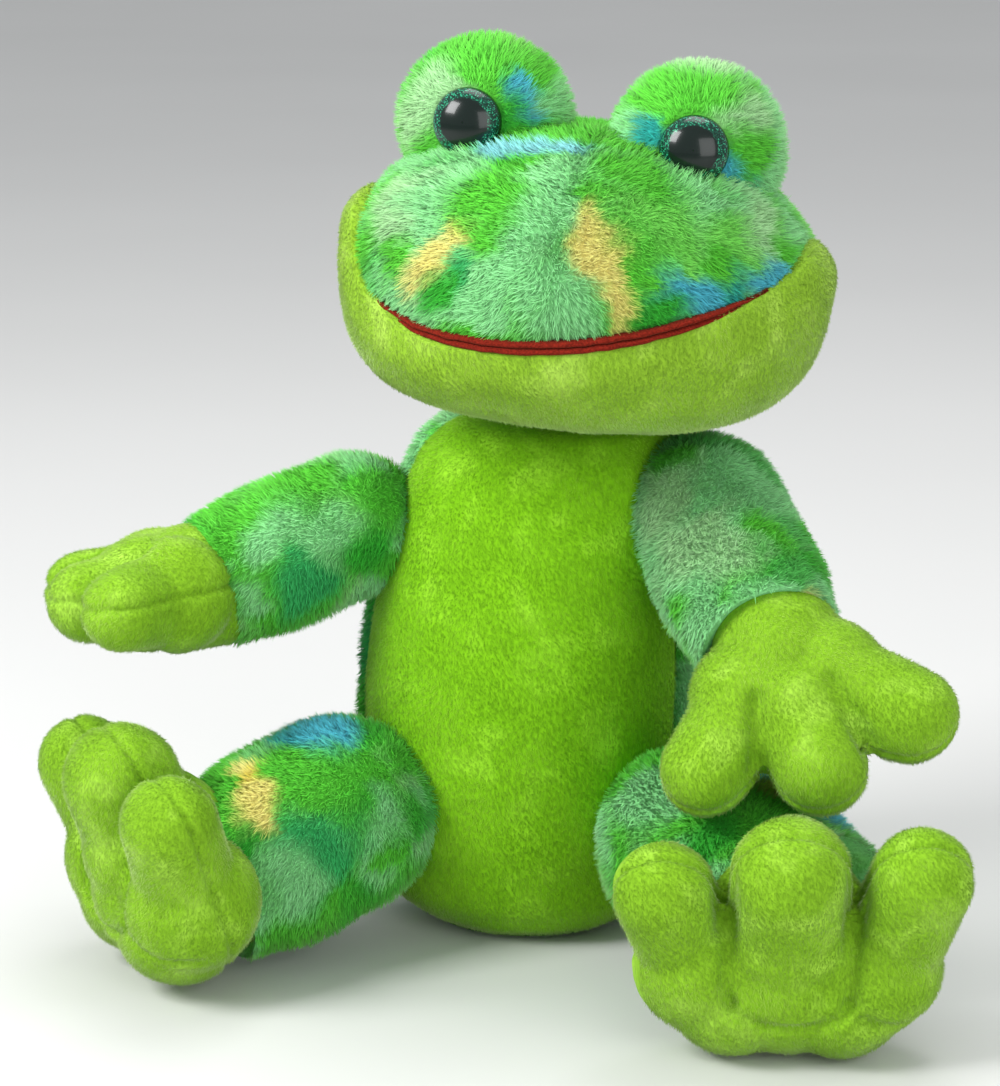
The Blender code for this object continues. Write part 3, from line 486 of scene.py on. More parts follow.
def strands(name, roots, normals, comb, colours, material, seed, length=FUR_LENGTH, width=FUR_WIDTH,
            stand=0.75, lean=0.55, ruffle=0.26, tuft=0.0029, gather=0.55, root_painted_shade=0.60, tip_painted_highlight=1.20):
    """Tapered three-sided strands on their roots, combed along the surface and drawn into tufts, painted
    darker at the root for shade and lighter at the tip for a highlight.
    """
    rng = np.random.default_rng(seed)
    count = len(roots)
    swirl = (np.stack([noise(roots, 0.011, seed + k) for k in range(3)], axis=1) - 0.5) * 1.3
    way = unit(normals * stand + comb * lean + swirl * lean + rng.normal(size=(count, 3)) * ruffle)
    inward = (way * normals).sum(axis=1, keepdims=True)
    way = unit(way + normals * np.maximum(0.25 - inward, 0.0))
    long = (length * (0.72 + 0.5 * rng.random(count)))[:, None]
    tips = gathered(roots, roots + way * long, tuft, gather, rng)
    side = unit(np.cross(way, normals + rng.normal(size=(count, 3)) * 0.5))
    other = np.cross(way, side)
    ring = [roots + (side * math.cos(t) + other * math.sin(t)) * width for t in full_turn(3)]
    points = np.stack(ring + [tips], axis=1).reshape(-1, 3)
    mesh = strand_mesh(name, points, count)
    own = rng.normal(1.0, 0.10, count) * (0.90 + 0.22 * noise(roots, 0.004, seed + 2))
    tone = colours * np.clip(own, 0.65, 1.4)[:, None]
    # Painted shade at each strand's three root points and a painted highlight at its tip.
    painted_light_tones = np.stack([tone * root_painted_shade] * 3 + [tone * tip_painted_highlight], axis=1).reshape(-1, 3)
    keep_dye_with_painted_light(mesh, np.clip(painted_light_tones, 0.0, 1.0))
    soft = unit(normals * 0.8 + way * 0.35)
    mesh.normals_split_custom_set_from_vertices(np.repeat(soft, 4, axis=0).tolist())
    return link(name, mesh, material)


def puff(points, quads, amount, size, seed):
    """Push a surface in and out a little, as stuffing does."""
    normals = point_normals(points, quads)
    return points + normals * ((cloudy(points, size, seed) - 0.5) * 2.0 * amount)[:, None]


# ---- materials ------------------------------------------------------------------------
def new_material(name, roughness, sheen=0.0, specular=0.3, coat=0.0):
    material = bpy.data.materials.new(name)
    material.use_nodes = True
    shader = material.node_tree.nodes["Principled BSDF"]
    shader.inputs["Roughness"].default_value = roughness
    shader.inputs["Sheen Weight"].default_value = sheen
    shader.inputs["Sheen Roughness"].default_value = 0.4
    shader.inputs["Sheen Tint"].default_value = (0.80, 1.0, 0.50, 1.0)
    shader.inputs["Specular IOR Level"].default_value = specular
    shader.inputs["Coat Weight"].default_value = coat
    shader.inputs["Coat Roughness"].default_value = 0.03
    return material, material.node_tree, shader


def attribute_node(tree, name):
    node = tree.nodes.new("ShaderNodeAttribute")
    node.attribute_name = name
    return node


def noise_node(tree, vector, scale, detail=3.0, stretch=(1.0, 1.0, 1.0)):
    mapping = tree.nodes.new("ShaderNodeMapping")
    mapping.inputs["Scale"].default_value = stretch
    tree.links.new(vector, mapping.inputs["Vector"])
    node = tree.nodes.new("ShaderNodeTexNoise")
    node.inputs["Scale"].default_value = scale
    node.inputs["Detail"].default_value = detail
    tree.links.new(mapping.outputs["Vector"], node.inputs["Vector"])
    return node.outputs["Fac"]


def ramp_node(tree, value, stops):
    node = tree.nodes.new("ShaderNodeValToRGB")
    elements = node.color_ramp.elements
    while len(elements) < len(stops):
        elements.new(0.5)
    for element, (place, colour) in zip(elements, stops):
        element.position = place
        element.color = (*colour, 1.0)
    tree.links.new(value, node.inputs["Fac"])
    return node.outputs["Color"]


def mixed(tree, kind, amount, a, b):
    node = tree.nodes.new("ShaderNodeMix")
    node.data_type = "RGBA"
    node.blend_type = kind
    for socket, value in ((node.inputs["Factor"], amount), (node.inputs["A"], a), (node.inputs["B"], b)):
        if isinstance(value, bpy.types.NodeSocket):
            tree.links.new(value, socket)
        elif isinstance(value, (int, float)):
            socket.default_value = value
        else:
            socket.default_value = (*value, 1.0)
    return node.outputs["Result"]


def bumped(tree, shader, height, distance, strength=1.0):
    bump = tree.nodes.new("ShaderNodeBump")
    bump.inputs["Distance"].default_value = distance
    bump.inputs["Strength"].default_value = strength
    tree.links.new(height, bump.inputs["Height"])
    tree.links.new(bump.outputs["Normal"], shader.inputs["Normal"])


def dyed_material(name, roughness, sheen, bump=0.0):
    """Takes its colour from the stored dye, which carries painted shade and painted highlights, with fine
    mottling.
    """
    material, tree, shader = new_material(name, roughness, sheen, specular=0.18)
    colour = attribute_node(tree, "dye").outputs["Color"]
    if bump:
        rest = attribute_node(tree, "rest").outputs["Vector"]
        fine = noise_node(tree, rest, 700.0)
        colour = mixed(tree, "MULTIPLY", 0.5, colour,
                       ramp_node(tree, fine, [(0.3, (0.5, 0.5, 0.5)), (0.7, (1.0, 1.0, 1.0))]))
        bumped(tree, shader, fine, bump)
    tree.links.new(colour, shader.inputs["Base Color"])
    return material


def fleece_material(name, dark, light, nap=(1.0, 1.0, 0.35)):
    material, tree, shader = new_material(name, 0.92, sheen=0.15, specular=0.10)
    rest = attribute_node(tree, "rest").outputs["Vector"]
    broad = noise_node(tree, rest, 55.0, 4.0)
    fine = noise_node(tree, rest, 900.0, 3.0, nap)
    # Random patches between the fleece colour and its painted highlight colour.
    colour = ramp_node(tree, broad, [(0.30, dark * 0.90), (0.52, dark), (0.74, light)])
    streak = ramp_node(tree, fine, [(0.32, (0.70, 0.72, 0.62)), (0.50, (0.98, 0.98, 0.95)),
                                            (0.72, (1.18, 1.16, 1.10))])
    tree.links.new(mixed(tree, "MULTIPLY", 0.75, colour, streak), shader.inputs["Base Color"])
    bumped(tree, shader, fine, 0.00045, 0.8)
    return material


def felt_material():
    material, tree, shader = new_material("mouth_felt", 0.95, sheen=0.05, specular=0.08)
    rest = attribute_node(tree, "rest").outputs["Vector"]
    fine = noise_node(tree, rest, 1500.0)
    tree.links.new(ramp_node(tree, fine, [(0.35, FELT * 0.6), (0.65, FELT * 1.25)]),
              shader.inputs["Base Color"])
    bumped(tree, shader, fine, 0.0003)
    return material


def plain_cloth(name, colour, scale=1200.0, roughness=0.9):
    """A woven or fibrous cloth for the pieces that the CAD shows as they are."""
    material, tree, shader = new_material(name, roughness, sheen=0.15, specular=0.15)
    place = tree.nodes.new("ShaderNodeTexCoord").outputs["Object"]
    fine = noise_node(tree, place, scale, 2.0, (1.0, 1.0, 2.5))
    tree.links.new(ramp_node(tree, fine, [(0.3, colour * 0.72), (0.7, colour * 1.1)]),
              shader.inputs["Base Color"])
    bumped(tree, shader, fine, 0.0002)
    return material


def eye_material():
    """A black pupil under clear plastic, with a ring of green glitter round it."""
    material, tree, shader = new_material("eye_plastic", 0.20, specular=0.25, coat=0.25)
    out = attribute_node(tree, "out").outputs["Fac"]
    rest = attribute_node(tree, "rest").outputs["Vector"]
    cells = tree.nodes.new("ShaderNodeTexVoronoi")
    cells.inputs["Scale"].default_value = 2300.0
    tree.links.new(rest, cells.inputs["Vector"])
    split = tree.nodes.new("ShaderNodeSeparateColor")
    tree.links.new(cells.outputs["Color"], split.inputs["Color"])
    # The glitter's flakes in dark greens, with the brighter cells as painted glints.
    glitter_and_painted_glints = ramp_node(tree, split.outputs["Red"], [
        (0.0, paint(10, 44, 34)), (0.55, paint(18, 72, 56)),
        (0.80, paint(44, 150, 112)), (1.0, paint(150, 240, 190))])
    glitter_and_painted_glints.node.color_ramp.interpolation = "CONSTANT"
    zone = ramp_node(tree, out, [(PUPIL - 0.02, (0.0, 0.0, 0.0)), (PUPIL + 0.02, (1.0, 1.0, 1.0)),
                                         (0.95, (1.0, 1.0, 1.0)), (0.985, (0.0, 0.0, 0.0))])
    tree.links.new(mixed(tree, "MIX", zone, paint(10, 24, 20), glitter_and_painted_glints), shader.inputs["Base Color"])
    return material


# ---- dye ------------------------------------------------------------------------------
def dyed(points, spots, seed=0, minty=0.5):
    """Tie-dye colours: clouds of greens, with named spots of colour over them."""
    warp = np.stack([noise(points, 0.012, seed + k) for k in (11, 12, 13)], axis=1) - 0.5
    fine = np.stack([noise(points, 0.003, seed + k) for k in (21, 22, 23)], axis=1) - 0.5
    moved = points + warp * 0.012 + fine * 0.004
    cloud = cloudy(moved, 0.034, seed + 1)
    colour = mix(DYES["green"], DYES["mint"], ramp(cloud, 0.62 - minty * 0.25, 0.76 - minty * 0.25))
    colour = mix(colour, DYES["deep"], ramp(cloudy(moved, 0.026, seed + 5), 0.56, 0.74) * 0.75)
    colour = mix(colour, DYES["pale"], ramp(cloudy(moved, 0.030, seed + 9), 0.62, 0.80) * 0.6)
    for place, radius, name in spots:
        away = np.linalg.norm(moved - place, axis=1) / radius
        colour = mix(colour, DYES[name], 1.0 - ramp(away, 0.40, 1.25))
    return colour


def undercoat(name, points, quads, spots, seed, minty=0.5, painted_shade=UNDERCOAT_PAINTED_SHADE):
    """The dyed skin that the fur stands on, painted darker for the shade under the strands."""
    skin = surface(name, points, quads, FUR_SKIN_MATERIAL)
    used = np.unique(quads)
    keep_dye_with_painted_light(skin.data, dyed(points[used], spots, seed, minty) * painted_shade)
    return skin


# ---- head -----------------------------------------------------------------------------
def head_point(azimuth, latitude, radii=TOP_RADII, grow=0.0):
    """Points of the head's skin; azimuth 0 is the front and latitude 90 the crown, in degrees."""
    azimuth, latitude = np.broadcast_arrays(np.radians(azimuth), np.radians(latitude))
    height = np.where(latitude >= 0, HEAD_UP, HEAD_DOWN) + grow
    taper = np.where(latitude >= 0, HEAD_TAPER, JAW_TAPER)
    ring = np.maximum(np.cos(latitude), 0.0) ** taper
    local = np.stack([(radii[0] + grow) * ring * np.sin(azimuth), -(radii[1] + grow) * ring * np.cos(azimuth),
                      height * np.sin(latitude)], axis=-1)
    return HEAD + local @ ROLL.T


def mouth_height(x):
    centre, height, slope, curve = MOUTH
    side = x - centre
    turned_up = np.maximum(-side - MOUTH_CORNER[0], 0.0) ** 2 * MOUTH_CORNER[1]
    return height + slope * side + curve * side * side + turned_up


def lip_part(azimuth):
    """1 along the middle of the mouth, falling to 0 at its corners."""
    return 1.0 - ramp(np.abs(azimuth - MOUTH_MIDDLE), MOUTH_HALF - 26.0, MOUTH_HALF)


def latitude_where(azimuth, test, radii, grow):
    """The latitude at each azimuth above which points pass the test."""
    low, high = np.full(azimuth.shape, -75.0), np.full(azimuth.shape, 60.0)
    for _ in range(24):
        middle = (low + high) / 2
        above = test(head_point(azimuth, middle, radii, grow))
        high = np.where(above, middle, high)
        low = np.where(above, low, middle)
    return (low + high) / 2


def mouth_latitude(azimuth, offset, radii=TOP_RADII, grow=0.0):
    return latitude_where(azimuth, lambda p: p[..., 2] > mouth_height(p[..., 0]) + offset, radii, grow)


def underside_height(y):
    level, slope = UNDERSIDE
    return level + slope * y


def underside_latitude(azimuth):
    return latitude_where(azimuth, lambda p: p[..., 2] > underside_height(p[..., 1]), TOP_RADII, FUR_SKIN)


def cheek_rise(azimuth):
    """How far the fleece of the cheeks climbs past the corners of the mouth, 0 to 1."""
    beyond = np.abs((azimuth - MOUTH_MIDDLE + 180.0) % 360.0 - 180.0) - MOUTH_HALF
    return ramp(beyond, 0.0, 34.0)


def from_front(azimuth):
    return np.abs((azimuth + 180.0) % 360.0 - 180.0)


def furline(azimuth):
    """The latitude of the fur's lower edge: the mouth, the cheeks' fleece, then the nape."""
    front = mouth_latitude(azimuth, LIP * lip_part(azimuth))
    cheek = front + (CHEEK_TOP - front) * cheek_rise(azimuth)
    return mix_numbers(cheek, underside_latitude(azimuth), ramp(from_front(azimuth), *NAPE))


def in_head_units(points):
    """Points in the head's own frame, where the surface of its top is about 1 from the middle."""
    return (points - HEAD) @ ROLL / np.array([*TOP_RADII, HEAD_UP])


def head_coordinates(points):
    """Azimuth and latitude of points near the head's skin, in degrees."""
    local = in_head_units(points)
    outward = np.hypot(local[:, 0], local[:, 1]) + 1e-9
    return np.degrees(np.arctan2(local[:, 0], -local[:, 1])), np.degrees(np.arctan2(local[:, 2], outward))


def mound_centre(side):
    sign = 1.0 if side == "l" else -1.0
    return HEAD + ROLL @ np.array([MOUND_AT[0] * sign + MOUND_SHIFT, MOUND_AT[1], MOUND_AT[2]])


def eye_axis(side):
    turn, tilt = math.radians(EYE_TURN[side]), math.radians(EYE_TILT)
    return np.array([math.sin(turn) * math.cos(tilt), -math.cos(turn) * math.cos(tilt), math.sin(tilt)])


def head_spots():
    return [(head_point(a, t, grow=FUR_SKIN), size / 1000, name) for a, t, size, name in HEAD_SPOTS]


def mound_spots(side):
    centre = mound_centre(side)
    return [(centre + unit(np.array(way)) * MOUND_RADIUS, size / 1000, name)
            for way, size, name in MOUND_SPOTS[side]]


def under_rows(azimuth, edge):
    """Rows below the fur's edge: tucked in behind the lip in front, and closed to the neck behind."""
    behind = ramp(from_front(azimuth), 84.0, 100.0)[:, None]
    rows = []
    for part in (0.80, 0.55, 0.28, 0.06):
        inward = edge + (np.array([*NECK, 0.0]) - edge) * LEVEL * part
        inward[:, 2] = mix_numbers(edge[:, 2], underside_height(inward[:, 1]), behind[:, 0])
        tucked = edge + (HEAD - edge) * LEVEL * 0.07 * part
        tucked[:, 2] += 0.0035 * min(part * 3.0, 1.0)
        rows.append(tucked * (1.0 - behind) + inward * behind)
    return np.stack(rows)


def head_skin():
    """Points and faces of the fur skin, from its lower edge under the cheeks to the crown."""
    rows, columns = 46, 168
    azimuth = np.arange(columns) * 360.0 / columns
    low = mouth_latitude(azimuth, LIP * lip_part(azimuth), grow=FUR_SKIN)
    low = mix_numbers(low, underside_latitude(azimuth), ramp(from_front(azimuth), *NAPE))
    t = np.linspace(0.0, 1.0, rows)[:, None]
    latitude = low + (89.6 - low) * t
    edge = head_point(azimuth, low, grow=FUR_SKIN - 0.004)
    above = head_point(azimuth[None, :], latitude, grow=FUR_SKIN)
    grid = np.concatenate([under_rows(azimuth, edge), above])
    points = grid.reshape(-1, 3)
    quads = facing_out(points, grid_quads(len(grid), columns, True), HEAD)
    return snout(puff(points, quads, *STUFFING["head"])), quads


def snout(points):
    """Lift the skin into the soft brow, snout and centre seam."""
    azimuth, latitude = head_coordinates(points)
    normals = unit(points - HEAD)
    seam = bell(azimuth + 1.0, 1.6) * ramp(latitude, 10, 20) * (1 - ramp(latitude, 48, 62))
    tuft = bell(azimuth - 3.0, 15.0, latitude - 7.0, 11.0)
    return points + normals * (0.0022 * tuft - 0.0018 * seam)[:, None]


def head_comb(roots, normals):
    """Fur lies down and away from the centre seam, and turns out round the snout's tuft."""
    azimuth, latitude = head_coordinates(roots)
    away = np.tanh((azimuth + 1.0) / 7.0) * (1.0 - ramp(np.abs(azimuth), 60, 130))
    comb = np.zeros_like(roots)
    comb[:, 0] = away * (0.85 - 0.35 * ramp(latitude, 20, 50))
    comb[:, 1] = np.where(np.abs(azimuth) < 90, -0.25, 0.35)
    comb[:, 2] = -0.75 * (1.0 - 0.6 * ramp(latitude, 35, 70))
    return along_surface(comb, normals)


def in_mound(points, extra=0.0):
    inside = np.zeros(len(points), dtype=bool)
    for side in "rl":
        inside |= np.linalg.norm(points - mound_centre(side), axis=1) < MOUND_RADIUS + extra
    return inside


def build_head():
    points, quads = head_skin()
    spots = head_spots()
    skin = undercoat("head_fur_skin", points, quads, spots, 1)
    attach(skin, "head")
    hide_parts("head_top", "head_back", "head_filling")

    roots, normals = scatter(points, quads, FUR_SPACING["head"], 11)
    azimuth, latitude = head_coordinates(roots)
    keep = (latitude > furline(azimuth) + 1.0) & ~in_mound(roots, -0.003)
    keep &= roots[:, 2] > underside_height(roots[:, 1])
    keep &= np.linalg.norm((roots - HEAD) / np.array([*TOP_RADII, HEAD_UP]), axis=1) > 0.93
    roots, normals, latitude, azimuth = roots[keep], normals[keep], latitude[keep], azimuth[keep]
    fluff = bell(azimuth - 4.0, 17.0, latitude - 8.0, 12.0)
    short = ramp(latitude - furline(azimuth), 0.0, 7.0)
    length = FUR_LENGTH * (0.62 + 0.38 * short) * (1.0 + 0.25 * fluff)
    fur = strands("head_fur", roots, normals, head_comb(roots, normals), dyed(roots, spots, 1),
                  FUR_MATERIAL, 21, length=length)
    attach(fur, "head")


def mound_skin(centre, axis):
    """The mound's ball, without its fur's depth under the eye and without what is in the head."""
    rows, columns = 34, 64
    polar = np.linspace(0.02, math.pi - 0.02, rows)[:, None]
    turn = full_turn(columns)[None, :]
    way = np.stack([np.sin(polar) * np.cos(turn), np.sin(polar) * np.sin(turn),
                    np.cos(polar) * np.ones_like(turn)], axis=-1).reshape(-1, 3)
    to_eye = np.clip(way @ axis, -1.0, 1.0)
    radius = MOUND_RADIUS + FUR_SKIN * (1.0 - ramp(to_eye, 0.88, 0.93))
    points = centre + way * radius[:, None]
    quads = facing_out(points, grid_quads(rows, columns, True), centre)
    buried = np.linalg.norm(in_head_units(points), axis=1) < 0.90
    return points, quads[~buried[quads].all(axis=1)]


def build_mound(side):
    centre = mound_centre(side)
    axis = eye_axis(side)
    points, quads = mound_skin(centre, axis)
    spots = mound_spots(side)
    name = "eye_" + side
    skin = undercoat(name + "_mound_skin", points, quads, spots, 2, MOUND_MINT)
    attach(skin, "head")
    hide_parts(name + "_mound", name + "_filling")

    roots, normals = scatter(points, quads, FUR_SPACING["mound"], SEEDS[name])
    way = unit(roots - centre)
    off_axis = np.linalg.norm((roots - centre) - axis * ((roots - centre) @ axis)[:, None], axis=1)
    seen = (way @ axis < 0.3) | (off_axis > EYE_RADIUS + 0.0003)
    keep = (np.linalg.norm(in_head_units(roots), axis=1) > 0.97) & seen
    roots, normals, way, off_axis = roots[keep], normals[keep], way[keep], off_axis[keep]
    near = 1.0 - ramp(off_axis, EYE_RADIUS, EYE_RADIUS + 0.008)
    near = np.where(way @ axis > 0.3, near, 0.0)
    comb = along_surface(way - axis * 0.9 + np.array([0.0, 0.15, -0.1]), normals)
    length = FUR_LENGTH * (1.0 - 0.45 * near)
    fur = strands(name + "_mound_fur", roots, normals, comb, dyed(roots, spots, 2, MOUND_MINT),
                  FUR_MATERIAL, SEEDS[name] + 10, length=length, stand=0.7)
    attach(fur, "head")


def build_eye(side):
    """A smooth domed eye: rows go from the middle out, then down the rim into the fur."""
    centre, axis = mound_centre(side), eye_axis(side)
    foot = MOUND_RADIUS + 0.0006
    profile = [(EYE_RADIUS * math.sin(t), foot + EYE_RISE * math.cos(t))
               for t in np.linspace(0.015, math.pi / 2, 26)]
    profile += [(EYE_RADIUS * part, foot - below)
                for part, below in ((1.0, 0.0012), (0.93, 0.0022), (0.2, 0.0024))]
    side_way = unit(np.cross(axis, UP))
    up_way = np.cross(side_way, axis)
    turns = full_turn(72)
    ring = np.cos(turns)[:, None] * side_way + np.sin(turns)[:, None] * up_way
    points = np.concatenate([centre + axis * height + ring * radius for radius, height in profile])
    quads = facing_out(points, grid_quads(len(profile), 72, True), centre + axis * foot)
    name = "eye_" + side
    eye = surface(name + "_plastic", points, quads, EYE_MATERIAL)
    out = np.repeat([min(radius / EYE_RADIUS, 1.0) for radius, _ in profile], 72)
    store(eye.data, "out", "FLOAT", "value", out)
    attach(eye, "head")
    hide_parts(name + "_iris", name + "_dome")


# ---- jaw and mouth --------------------------------------------------------------------
def jaw_skin():
    """The fleece roll of the lower jaw, which climbs the cheeks behind the mouth's corners."""
    rows, columns = 40, 150
    grow = FLEECE_SKIN
    azimuth = np.linspace(-JAW_REACH, JAW_REACH, columns)
    top = mouth_latitude(azimuth, -LIP * lip_part(azimuth), JAW_RADII, grow)
    rise = cheek_rise(azimuth) * (1.0 - ramp(from_front(azimuth), JAW_REACH - 10.0, JAW_REACH) * 0.5)
    top = top + (CHEEK_TOP - top) * rise
    t = np.linspace(0.0, 1.0, rows)[:, None]
    latitude = top + (-88.0 - top) * t
    outer = head_point(azimuth[None, :], latitude, JAW_RADII, grow)
    # A soft roll under the lip, fuller cheeks, and a chin that is fuller on the frog's right.
    roll = 0.0018 * bell((latitude - top) + 14.0, 12.0)
    cheeks = 0.0030 * bell(latitude - 21.0, 10.0) * ramp(np.abs(azimuth), 56.0, 76.0)
    chin = 0.0050 * bell(azimuth + 46.0, 28.0, latitude + 42.0, 24.0)
    lift = roll + cheeks + chin
    back_edge = ramp(np.abs(azimuth), JAW_REACH - 16.0, JAW_REACH)
    outer = outer + unit(outer - HEAD) * (lift * (1.0 - back_edge) - 0.0075 * back_edge)[..., None]
    depth = 0.25 + 0.75 * cheek_rise(azimuth)
    rim = [head_point(azimuth, top + 0.8, JAW_RADII, 0.0) - unit(outer[0] - HEAD) * (depth * inset)[:, None]
           for inset in (0.0100, 0.0045, 0.0008)]
    points = np.concatenate([np.stack(rim), outer]).reshape(-1, 3)
    quads = facing_out(points, grid_quads(len(rim) + rows, columns, False), HEAD)
    return puff(points, quads, *STUFFING["jaw"]), quads


def build_jaw():
    points, quads = jaw_skin()
    jaw = surface("jaw_fleece", points, quads, JAW_MATERIAL)
    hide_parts("jaw_cover", "jaw_filling")
    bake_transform(jaw)
    roots, normals = scatter(points, quads, NAP_SPACING["jaw"], 51)
    keep = (roots - HEAD)[:, 2] > -0.060
    nap = add_nap("jaw_nap", roots[keep], normals[keep], (0.25, 0.0, -1.0), JAW_LIME, JAW_HIGHLIGHT, 52)
    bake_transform(nap)


def add_nap(name, roots, normals, way, dark, light, seed):
    """The very short nap of fleece, lying one way."""
    # The nap's tone mixes the fleece colour with its painted highlight colour in random patches.
    tone = mix(dark, light, ramp(cloudy(roots, 0.016, seed), 0.35, 0.75))
    # The nap's strands get painted shade at their roots and a painted highlight at their tips.
    return strands(name, roots, normals, along_surface(np.array(way), normals), tone, NAP_MATERIAL, seed,
                   length=NAP_LENGTH, width=NAP_WIDTH, stand=0.6, lean=0.8, ruffle=0.35, tuft=0.0016,
                   gather=0.25, root_painted_shade=0.80, tip_painted_highlight=1.10)


def build_lip(upper):
    """One half of the felt edge of the mouth, thickest in the middle."""
    sign = 1.0 if upper else -1.0
    count, around = 130, 12
    azimuth = np.linspace(MOUTH_MIDDLE - MOUTH_HALF, MOUTH_MIDDLE + MOUTH_HALF, count)
    part = (azimuth - MOUTH_MIDDLE) / MOUTH_HALF
    size = 0.30 + 0.85 * (1.0 - np.abs(part) ** 2.4)
    latitude = mouth_latitude(azimuth, 0.0, JAW_RADII, 0.0)
    centre = head_point(azimuth, latitude, JAW_RADII, -0.0004)
    out = unit((centre - HEAD) * LEVEL)
    rings = []
    for angle in full_turn(around):
        high = sign * LIP_APART + LIP_ROLL[1] * math.sin(angle)
        rings.append(centre + out * (LIP_ROLL[0] * math.cos(angle) * size)[:, None]
                     + UP * (high * size)[:, None])
    points = np.stack(rings, axis=1).reshape(-1, 3)
    points += (np.stack([noise(points, 0.004, k) for k in range(3)], axis=1) - 0.5) * 0.0006
    quads = facing_out(points, grid_quads(count, around, True), points.mean(axis=0))
    name = "upper_lip" if upper else "lower_lip"
    lip = surface(name, points, quads, FELT_MATERIAL)
    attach(lip, "head" if upper else "jaw")


def build_mouth_sheet(upper):
    """The felt that lines one half of the mouth, from the lip back to the fold."""
    sign = 1.0 if upper else -1.0
    columns, rows = 60, 16
    azimuth = np.linspace(-88.0, 88.0, columns)
    tucked = 0.006 + 0.165 * ramp(np.abs(azimuth - MOUTH_MIDDLE), MOUTH_HALF - 2.0, MOUTH_HALF + 9.0)
    x = HEAD[0] + JAW_RADII[0] * (1.0 - tucked) * np.sin(np.radians(azimuth))
    front = HEAD[1] - JAW_RADII[1] * (1.0 - tucked) * np.cos(np.radians(azimuth))
    back = HINGE_Y - 0.0022
    t = np.linspace(0.0, 1.0, rows)[:, None]
    y = front + (back - front) * t
    layers = []
    for offset in FELT_FACES:
        z = np.broadcast_to(mouth_height(x) + sign * offset, y.shape)
        layers.append(np.stack([np.broadcast_to(x, y.shape), y, z], axis=-1))
    loop = np.concatenate([layers[0], layers[1][::-1]])
    points = loop.reshape(-1, 3)
    quads = facing_out(points, grid_quads(rows * 2, columns, False), points.mean(axis=0))
    name = "upper_mouth_felt" if upper else "lower_mouth_felt"
    sheet = surface(name, points, quads, FELT_MATERIAL)
    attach(sheet, "head" if upper else "jaw")
    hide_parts("upper_mouth_lining" if upper else "lower_mouth_lining")


# ---- torso ----------------------------------------------------------------------------
def torso_points(angles, heights, grow):
    """Points round the torso; angle 0 is the front and 90 degrees the frog's left."""
    rows = smooth_table(TORSO, heights)
    angle = np.radians(angles)[None, :]
    half_x, half_y = rows[:, 1:2] + grow, rows[:, 2:3] + grow
    x = rows[:, 3:4] + half_x * np.sin(angle)
    y = rows[:, 4:5] - half_y * np.cos(angle)
    return np.stack([x, y, np.broadcast_to(heights[:, None], x.shape)], axis=-1)


def torso_heights(count):
    """Heights up the torso, closer together at its rounded ends."""
    t = np.linspace(0.0, 1.0, count)
    low, high = TORSO[0, 0], TORSO[-1, 0]
    return low + (high - low) * (t - np.sin(2.0 * math.pi * t) / (2.0 * math.pi) * 0.75)


def build_belly():
    angles = np.linspace(-BELLY_ARC - 2.5, BELLY_ARC + 2.5, 96)
    heights = torso_heights(110)
    points = torso_points(angles, heights, FLEECE_SKIN)
    edge = ramp(np.abs(angles), BELLY_ARC - 6.0, BELLY_ARC + 2.5)
    middle = np.stack([np.interp(heights, TORSO[:, 0], TORSO[:, k]) for k in (3, 4)], axis=1)
    centre = np.concatenate([middle, heights[:, None]], axis=1)[:, None, :]
    crown = 0.0012 * (1.0 - (angles / BELLY_ARC) ** 2) - 0.0042 * edge
    points = (points + unit(points - centre) * crown[None, :, None]).reshape(-1, 3)
    behind = points.mean(axis=0) + [0, 0.05, 0]
    quads = facing_out(points, grid_quads(len(heights), len(angles), False), behind)
    points = puff(points, quads, *STUFFING["belly"])
    points[:, 2] = np.maximum(points[:, 2], 0.0004)
    belly = surface("belly_fleece", points, quads, BELLY_MATERIAL)
    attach(belly, "torso")
    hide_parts("belly_panel", "belly_filling")
    roots, normals = scatter(points, quads, NAP_SPACING["belly"], 61)
    keep = roots[:, 2] > 0.0012
    nap = add_nap("belly_nap", roots[keep], normals[keep], (0.15, 0.0, -1.0), LIME, LIME_HIGHLIGHT, 62)
    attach(nap, "torso")


def torso_spots():
    spots = []
    for angle, height, size, name in TORSO_SPOTS:
        place = torso_points(np.array([angle]), np.array([height]), FUR_SKIN)[0, 0]
        spots.append((place, size / 1000, name))
    return spots


def in_limb(points):
    """Whether points lie inside any limb's root, 4 mm or more under its skin."""
    inside = np.zeros(len(points), dtype=bool)
    for name, (_, _, radii) in LIMBS.items():
        start, _, along, _, _ = limb_axes(name)
        reach = (points - start) @ along
        off = np.linalg.norm(points - start - along * reach[:, None], axis=1)
        inside |= (reach > -0.02) & (off < radii[0] - 0.004)
    return inside


